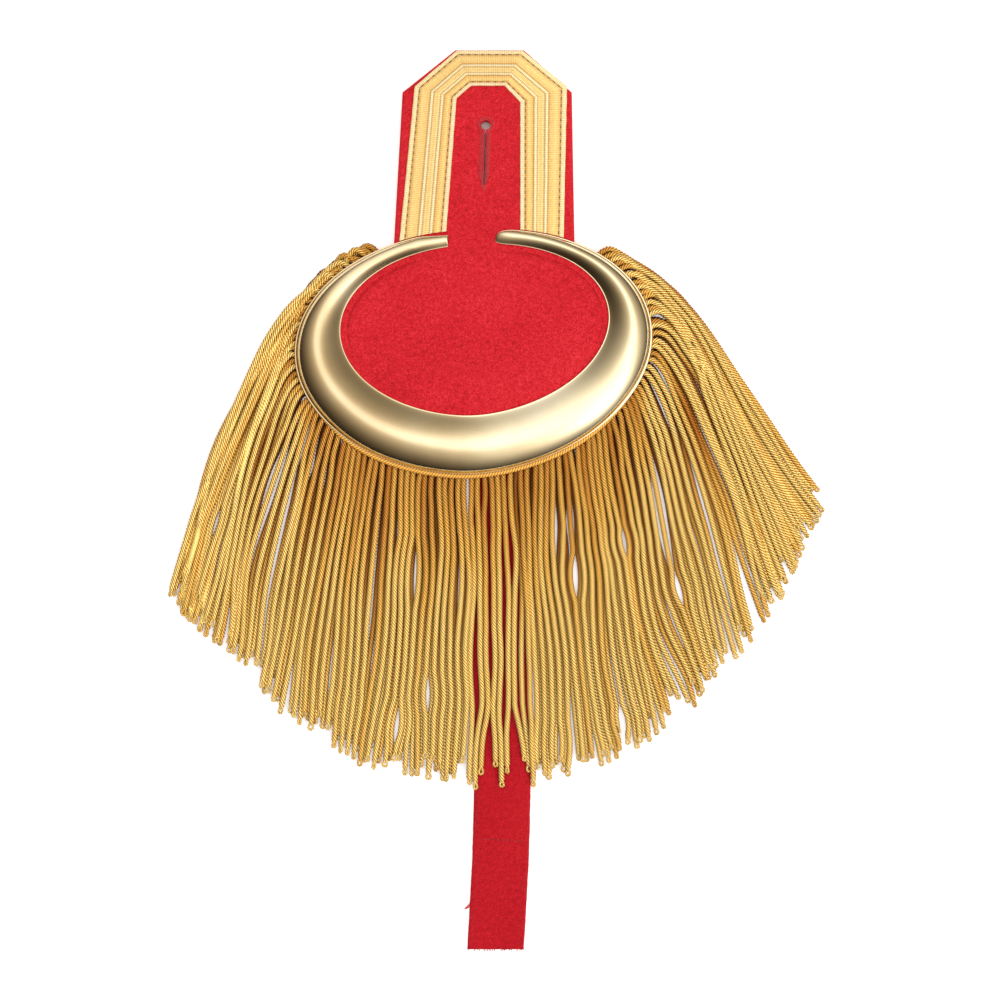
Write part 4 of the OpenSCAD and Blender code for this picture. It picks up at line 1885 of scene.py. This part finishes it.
@dataclass
class Fringe:
    """Two rows of twisted gold strands that fan out from under the crescent and end in small loops."""

    ways: StrandPlan
    heights: StrandHeights = StrandHeights()
    tip: TipLoop = TipLoop()
    seed: int = 5
    loop_seed: int = 104
    clear: float = 2.15
    first_deg: float = 250.0
    clear_at: tuple[int, int, int] = (20, 70, 10)
    beside: float = 2.1
    loose: float = 0.72
    held: float = 0.06
    freed: float = 5.0
    front: tuple[float, float] = (205.0, 350.0)
    front_beside: float = 0.67
    front_free: tuple[float, float] = (0.3, 0.5)
    tongue_span: tuple[float, float] = (267.5, 287.5)
    shorter: float = 0.085
    shorter_power: float = 1.5
    shaded: tuple[float, float] = (0.3, 0.7)
    # Each kind of strand's own tone and its painted shade near the rim and under other strands.
    top_tone_and_shade: ToneAndShade = ToneAndShade(0.54, 0.46, 3.0, 60.0, 0.4)
    second_tone_and_shade: ToneAndShade = ToneAndShade(0.46, 0.3, 8.0, 60.0, 0.5, 0.42, 0.62)
    lower_tone_and_shade: ToneAndShade = ToneAndShade(0.48, 0.4, 92.0, 0.0, 0.03)
    upper_lay: CordLay = CordLay(radius=1.14, plies=5, pitch=-6.0, ring_turn=42.0, hollow=0.66)
    lower_lay: CordLay = CordLay(radius=1.14, plies=5, pitch=-6.0, ring_turn=48.0, hollow=0.7)
    loop_lay: CordLay = CordLay(radius=0.52, plies=3, pitch=-2.2, ring_turn=72.0)
    pieces: tuple[int, int, int] = (4, 3, 1)

    def runs(self) -> dict[Layer, list[CordRun]]:
        """Draws the strands of both rows.

        Returns:
            Their runs by row.
        """
        rng = np.random.default_rng(self.seed)
        angles = self.ways.root_angles(rng)
        uppers = np.arange(len(angles)) % 2 == 0
        kept = uppers | (angles < self.tongue_span[0]) | (angles > self.tongue_span[1])
        lines = self.ways.lines(angles, rng)
        on_top = np.zeros(len(angles), bool)
        on_top[uppers] = self.topmost(angles[uppers])
        self.spread(lines, angles, on_top, kept)
        u = np.linspace(0, 1, self.ways.stations)
        lifts = self.heights.lift.draw(rng, len(angles), self.ways.stations)
        lifts *= np.minimum(1.0, u * self.heights.lift_over)
        made: dict[Layer, list[CordRun]] = {Layer.UPPER: [], Layer.LOWER: []}
        for k, angle in enumerate(angles):
            deg, upper = float(angle), bool(uppers[k])
            reach = 1 - self.shorter * rng.random() ** self.shorter_power
            tone, phase = rng.random(), rng.uniform(0, 2 * math.pi)
            if not kept[k]:
                continue
            steps = lengths(lines[k])
            lift = lifts[k] * (self.heights.lift_upper if upper else self.heights.lift_lower)
            usual = self.heights.usual(u, steps, deg, upper, on_top[k])
            z = np.clip(usual + lift, self.heights.least, self.heights.most)
            path = np.column_stack([lines[k], z])[steps <= steps[-1] * reach]
            # Picks the strand's tone and painted shade by where it lies.
            tone_and_shade = self.top_tone_and_shade if on_top[k] else self.second_tone_and_shade if upper else self.lower_tone_and_shade
            run = tone_and_shade.run(path, tone, phase, ease(-sine(deg), *self.shaded))
            made[Layer.UPPER if upper else Layer.LOWER].append(run)
        return made

    def topmost(self, angles: np.ndarray) -> list[bool]:
        """Picks the strands of the upper row that lie on top, each clear of its neighbours.

        Args:
            angles: The angles at which the row's strands leave the rim.

        Returns:
            Whether each lies on top.
        """
        picked = [False] * len(angles)
        for k in sorted(range(len(angles)), key=lambda i: abs(angles[i] - self.first_deg)):
            line = self.ways.flow(float(angles[k]))
            near = [i for i in (k - 2, k - 1, k + 1, k + 2) if 0 <= i < len(angles) and picked[i]]
            spans = [self.clearance(line, self.ways.flow(float(angles[i]))) for i in near]
            picked[k] = not spans or min(spans) > self.clear
        return picked

    def clearance(self, line: np.ndarray, other: np.ndarray) -> float:
        """Gives the usual distance between two strands along their middle stretch.

        Args:
            line: One strand's points.
            other: The other one's.

        Returns:
            The distance.
        """
        spans = [np.min(np.linalg.norm(other - point, axis=1)) for point in line[slice(*self.clear_at)]]
        return float(np.median(spans))

    def spread(self, lines: np.ndarray, angles: np.ndarray, on_top: np.ndarray, kept: np.ndarray) -> None:
        """Settles the topmost strands side by side, and then all those at the front.

        Args:
            lines: The strands' points, which are moved.
            angles: The angles at which they leave the rim.
            on_top: Which of them lie on top.
            kept: Which of them are laid.
        """
        u = np.linspace(0, 1, self.ways.stations)
        loose = 1 - self.loose * np.abs(np.cos(np.radians(angles[on_top]))) ** 2
        free = np.clip((u - self.held) * self.freed, 0.0, 1.0) * loose[1:, None]
        lines[on_top] = self.ways.settle(lines[on_top], self.beside, free)
        front = (angles > self.front[0]) & (angles < self.front[1]) & kept
        free = np.clip((u - self.front_free[0]) / self.front_free[1], 0.0, 1.0)
        lines[front] = self.ways.settle(lines[front], self.front_beside * self.beside, free)

    def build(self) -> None:
        """Lays all the strands, each row in a few pieces, and the loops in one."""
        rng = np.random.default_rng(self.loop_seed)
        rows = self.runs()
        rows[Layer.LOOPS] = [self.tip.draw(run, rng) for run in (*rows[Layer.UPPER], *rows[Layer.LOWER])]
        finish = TwistedGold().make()
        lays = (self.upper_lay, self.lower_lay, self.loop_lay)
        for layer, lay, pieces in zip(rows, lays, self.pieces, strict=True):
            size = math.ceil(len(rows[layer]) / pieces)
            for k in range(pieces):
                runs = rows[layer][k * size : (k + 1) * size]
                made = CordMaker(lay).make(f"fringe_{layer.value}_{k + 1}", runs)
                stands_for = ("fringe",) if (layer, k) == (Layer.UPPER, 0) else ()
                Maker.dress(made, finish, Slot.FRINGE, *stands_for)


@dataclass
class Tongue:
    """The cloth tongue sewn under the pad, stitched along its sides and left raw at its end."""

    plan: Plan
    rows: tuple[tuple[float, float], ...] = (
        (-19.0, 8.4), (-80.0, 8.9), (-154.0, 10.4), (-182.0, 9.7), (-214.0, 7.9),
    )
    width: float = 20.4
    thickness: float = 1.5
    step: float = 1.0
    steps_across: int = 26
    edge_lines: tuple[float, ...] = (0.0, 0.008, 0.02)
    side_waves: tuple[Ripple, Ripple] = (Ripple(0.22, 3.0, 0.12, 2.0), Ripple(0.12, 5.0, 0.6, 5.0))
    face_waves: Ripple = Ripple(0.05, 0.4, 0.4, 0.0)
    side_height: float = 0.55
    side_round: float = 0.93
    seam_at: float = 0.8
    seam_depth: float = 0.16
    seam_width: float = 0.035
    foot_z: float = 0.02
    tones: Stops = ((0.34, "8e0b17"), (0.5, "b21220"), (0.68, "ca2531"))
    threads_per_metre: float = 1100.0
    thread: float = 0.3
    stitch_up: float = 0.04
    side_seams: tuple[float, float] = (0.1, 0.9)
    seam_start: float = 2.0
    seam_stop: float = 1.0
    side_stitch: float = 0.8
    side_pitch: float = 1.7
    cross_y: float = -174.5
    cross_left: float = 6.6
    cross_stitch: float = 0.95
    cross_pitch: float = 1.65
    cross_stitches: int = 9
    cross_lean: float = 0.05
    cross_rise: float = 0.1
    fray_seed: int = 21
    thread_in: float = 0.3
    end_threads: int = 26
    end_spread: float = 0.49
    end_length: tuple[float, float] = (0.5, 1.4)
    end_lean: float = 0.5
    end_z: tuple[float, float] = (0.2, 1.2)
    side_threads: int = 3
    side_y: float = -197.5
    side_step: float = 0.5
    side_length: float = 3.0
    side_z: float = 0.5
    loose_lay: CordLay = CordLay(radius=0.16, plies=3, pitch=-1.5, ring_turn=60.0, hollow=0.9)

    def middle(self, y: float) -> float:
        """Gives the middle of the tongue's width at y."""
        ys, xs = zip(*reversed(self.rows), strict=True)
        return float(np.interp(y, ys, xs))

    def place(self, u: float, v: float) -> Vector:
        """Gives a point of the tongue's face.

        Args:
            u: How far along from the pad, as a share.
            v: How far across, as a share.

        Returns:
            The point.
        """
        y = self.rows[0][0] + (self.rows[-1][0] - self.rows[0][0]) * u
        side = abs(2 * v - 1)
        wave = self.side_waves[0].at(v, y) + self.side_waves[1].at(v, y)
        x = self.middle(y) + (v - 0.5) * self.width + wave * side
        flat = 1 - ease(side, self.side_round, 1.0)
        z = self.thickness * (self.side_height + (1 - self.side_height) * flat)
        z -= self.seam_depth * bell(side, self.seam_at, self.seam_width)
        return Vector((x, y, z + self.face_waves.at(x, y)))

    def build(self) -> None:
        """Makes the tongue, its stitches and its loose threads."""
        length = self.rows[0][0] - self.rows[-1][0]
        count = round(length / self.step)
        inner = [k / self.steps_across for k in range(1, self.steps_across)]
        across = [*self.edge_lines, *inner, *(1 - share for share in reversed(self.edge_lines))]
        bm = Maker.grid([k / count for k in range(count + 1)], across, self.place)
        rim = bmesh.ops.extrude_edge_only(bm, edges=[edge for edge in bm.edges if edge.is_boundary])
        feet = [item for item in rim["geom"] if isinstance(item, bmesh.types.BMVert)]
        for vert in feet:
            vert.co.z = self.foot_z
        bmesh.ops.holes_fill(bm, edges=[edge for edge in bm.edges if edge.is_boundary], sides=0)
        bmesh.ops.recalc_face_normals(bm, faces=bm.faces)
        cloth = Maker.piece("tongue_strip", bm)
        finish = FeltedCloth("tongue_cloth", tones=self.tones, threads_per_metre=self.threads_per_metre)
        Maker.dress(cloth, finish.make(), Slot.TONGUE, "tongue")
        threads = self.threads()
        sewn = self.sew()

    def top(self, x: float, y: float) -> Vector:
        """Gives a point just over the tongue's face.

        Args:
            x: Its place across.
            y: Its place along.

        Returns:
            The point.
        """
        u = (y - self.rows[0][0]) / (self.rows[-1][0] - self.rows[0][0])
        v = (x - self.middle(y)) / self.width + 0.5
        return Vector((x, y, self.place(u, min(1.0, max(0.0, v))).z + self.stitch_up))

    def sew(self) -> Piece:
        """Sews a row of stitches along each side and one across.

        Returns:
            The stitches.
        """
        sewn = Stitches(self.thread)
        for share in self.side_seams:
            y = self.rows[0][0] - self.seam_start
            while y > self.rows[-1][0] + self.seam_stop:
                x = self.middle(y) + (share - 0.5) * self.width
                sewn.sew(self.top(x, y), self.top(x, y - self.side_stitch))
                y -= self.side_pitch
        for k in range(self.cross_stitches):
            x = self.middle(self.cross_y) - self.cross_left + self.cross_pitch * k
            y = self.cross_y - self.cross_lean * k
            sewn.sew(self.top(x, y), self.top(x + self.cross_stitch, y + self.cross_rise))
        thread = SpunThread("dark_red_thread", "6e0713", "9d1020").make()
        return Maker.dress(sewn.finish("tongue_stitches"), thread, Slot.TONGUE)

    def threads(self) -> Piece:
        """Pulls a few loose threads from the tongue's raw edges.

        Returns:
            The threads.
        """
        rng = np.random.default_rng(self.fray_seed)
        runs: list[CordRun] = []
        end = self.rows[-1][0]
        for _ in range(self.end_threads):
            x = self.middle(end) + rng.uniform(-self.end_spread, self.end_spread) * self.width
            length, lean = rng.uniform(*self.end_length), rng.uniform(-self.end_lean, self.end_lean)
            start = Vector((x, end + self.thread_in, rng.uniform(*self.end_z)))
            runs.append(self.loose(start, Vector((lean, -1.0, 0.0)), length, rng))
        left = self.middle(-200.0) - self.width / 2
        for k in range(self.side_threads):
            start = Vector((left + self.thread_in, self.side_y - self.side_step * k, self.side_z))
            way = Vector((-0.8, -0.9 - 0.1 * k, 0.0))
            runs.append(self.loose(start, way, self.side_length - self.side_step * k, rng))
        made = CordMaker(self.loose_lay).make("tongue_threads", runs)
        return Maker.dress(made, SpunThread("loose_red_thread", "b01222", "e04552").make(), Slot.TONGUE)

    @staticmethod
    def loose(start: Vector, way: Vector, length: float, rng: np.random.Generator) -> CordRun:
        """Draws one loose thread.

        Args:
            start: Where it leaves the cloth.
            way: The way that it points.
            length: How long it is.
            rng: Draws its curl.

        Returns:
            Its run.
        """
        most_curl, points, drop, least_z, shade, taper = 0.4, 8, 0.5, 0.2, 0.5, 0.3
        curl = rng.uniform(-most_curl, most_curl)
        t = np.linspace(0, 1, points)
        way = way.normalized()
        x = start.x + length * (way.x * t + curl * way.y * t * t)
        y = start.y + length * (way.y * t - curl * way.x * t * t)
        z = np.maximum(least_z, start.z - drop * t)
        return CordRun(np.column_stack([x, y, z]), shade, taper=taper)


# The studio


@dataclass(frozen=True)
class Lamp:
    """A soft square lamp: its name, its place and side in metres, and its power in watts."""

    name: str
    place: tuple[float, float, float]
    size: float
    power: float

    def hang(self, aim: Vector) -> None:
        """Hangs the lamp.

        Args:
            aim: The point that it points at.
        """
        data = bpy.data.lights.new(self.name, "AREA")
        data.shape = "SQUARE"
        data.size = self.size
        data.energy = self.power
        made = bpy.data.objects.new(self.name, data)
        made.location = self.place
        made.visible_glossy = False
        made.rotation_euler = (aim - Vector(self.place)).to_track_quat("-Z", "Y").to_euler()
        bpy.context.scene.collection.objects.link(made)


@dataclass
class Studio:
    """A pale floor that glows as painted fill light, soft light from above and the camera, looking straight
    down as in the photograph.
    """

    middle: tuple[float, float] = (9.5, -52.5)
    distance: float = 1.0
    lens: float = 100.0
    sensor: float = 36.0
    clip: tuple[float, float] = (0.05, 60.0)
    floor_size: float = 30.0
    floor_drop: float = 0.15
    # The floor's painted fill light, and the unlit patch under the eyelet.
    painted_fill: float = 0.45
    unlit_middle: tuple[float, float, float] = (0.0044, 0.072, 0.0)
    unlit_edge: tuple[float, float] = (0.017, 0.021)
    sky_power: float = 1.85
    sky_rise: float = 0.94
    bands: Stops = (
        (0.0, "564f44"), (0.15, "746b5e"), (0.25, "8c8476"), (0.36, "a8a092"), (0.43, "c2bcb0"),
        (0.475, "dedad0"), (0.52, "fbf9f4"), (0.59, WHITE), (0.65, "f2eee4"), (0.72, "cec7b8"),
        (0.8, "b4ac9c"), (1.0, "a0988a"),
    )
    band_across: float = 0.4
    band_back: float = 0.26
    band_front: float = 0.375
    window: tuple[float, float, float] = (0.42, -0.42, 0.8)
    window_edge: float = 18.0
    window_power: float = 1.6
    aim: tuple[float, float, float] = (0.0, -0.05, 0.0)
    lamps: tuple[Lamp, ...] = (
        Lamp("overhead", (-0.15, 0.2, 1.7), 1.5, 11.6), Lamp("front_window", (0.9, -0.9, 1.3), 1.1, 9.5),
    )

    def camera(self) -> None:
        """Sets the camera."""
        data = bpy.data.cameras.new("camera")
        data.lens = self.lens
        data.sensor_width = self.sensor
        data.clip_start, data.clip_end = self.clip
        made = bpy.data.objects.new("camera", data)
        made.location = (self.middle[0] * MM, self.middle[1] * MM, self.distance)
        bpy.context.scene.collection.objects.link(made)
        bpy.context.scene.camera = made

    def floor(self) -> None:
        """Lays the floor, which glows as painted fill light that brightens the shade between the fringe's
        strands, except in a patch under the eyelet, where it is seen through the hole.
        """
        bm = bmesh.new()
        drop = Matrix.Translation((0.0, 0.0, -self.floor_drop))
        bmesh.ops.create_grid(bm, x_segments=1, y_segments=1, size=self.floor_size / 2 / MM, matrix=drop)
        made = Maker.piece("floor", bm)
        sheet = NodeSheet("pale_floor")
        sheet.put(Base_Color=tint("ececec"), Roughness=0.8, Specular_IOR_Level=0.2)
        sheet.put(Emission_Color=tint("fff6f4"))
        place = sheet.coords.outputs["Object"]
        # Painted fill light: the floor glows everywhere except within about 17 to 21 mm of a point under the
        # eyelet.
        away = sheet.node("VectorMath", {0: place, 1: self.unlit_middle}, operation="DISTANCE")
        low, high = self.unlit_edge
        limits = {"Value": away.outputs["Value"], "From Min": low, "From Max": high, "To Max": self.painted_fill}
        sheet.feed("Emission Strength", sheet.node("MapRange", limits).outputs[0])
        made.data.materials.append(sheet.material)

    def sky(self) -> None:
        """Surrounds the scene with a broad band of light overhead, dim to its sides and near the horizon."""
        world = bpy.data.worlds.new("studio")
        bpy.context.scene.world = world
        world.use_nodes = True
        sky = Wiring(world.node_tree)
        way = sky.coords.outputs["Generated"]
        x, y, z = sky.parts(way)
        back, front = sky.sums("MAXIMUM", y, 0.0), sky.sums("MINIMUM", y, 0.0)
        across = sky.gather((x, self.band_across), (back, self.band_back), (front, self.band_front))
        colour = sky.ramp(sky.sums("ADD", across, 0.5), self.bands)
        rise, base = self.sky_rise * self.sky_power, (1 - self.sky_rise) * self.sky_power
        height = sky.sums("MULTIPLY_ADD", z, rise, base)
        toward = sky.node("VectorMath", {0: way, 1: self.window}, operation="DOT_PRODUCT").outputs["Value"]
        near = sky.sums("POWER", sky.sums("MAXIMUM", toward, 0.0), self.window_edge)
        backdrop = world.node_tree.nodes["Background"]
        world.node_tree.links.new(colour, backdrop.inputs["Color"])
        strength = sky.sums("MULTIPLY_ADD", near, self.window_power, height)
        world.node_tree.links.new(strength, backdrop.inputs["Strength"])

    def build(self) -> None:
        """Sets up everything round the epaulette."""
        bpy.context.scene.view_settings.view_transform = "Standard"
        self.camera()
        self.floor()
        self.sky()
        for lamp in self.lamps:
            lamp.hang(Vector(self.aim))


def main() -> None:
    """Builds the studio and the pieces in order."""
    logging.basicConfig(level=logging.INFO, format="%(message)s")
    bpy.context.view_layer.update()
    plan = Plan()
    Studio().build()
    ClothBoard(plan).build()
    LaceBorder(plan).build()
    Buttonhole(plan).build()
    Crescent(plan).build()
    EdgeCord(plan).build()
    Fringe(StrandPlan(plan)).build()
    Tongue(plan).build()


if __name__ == "__main__":
    main()
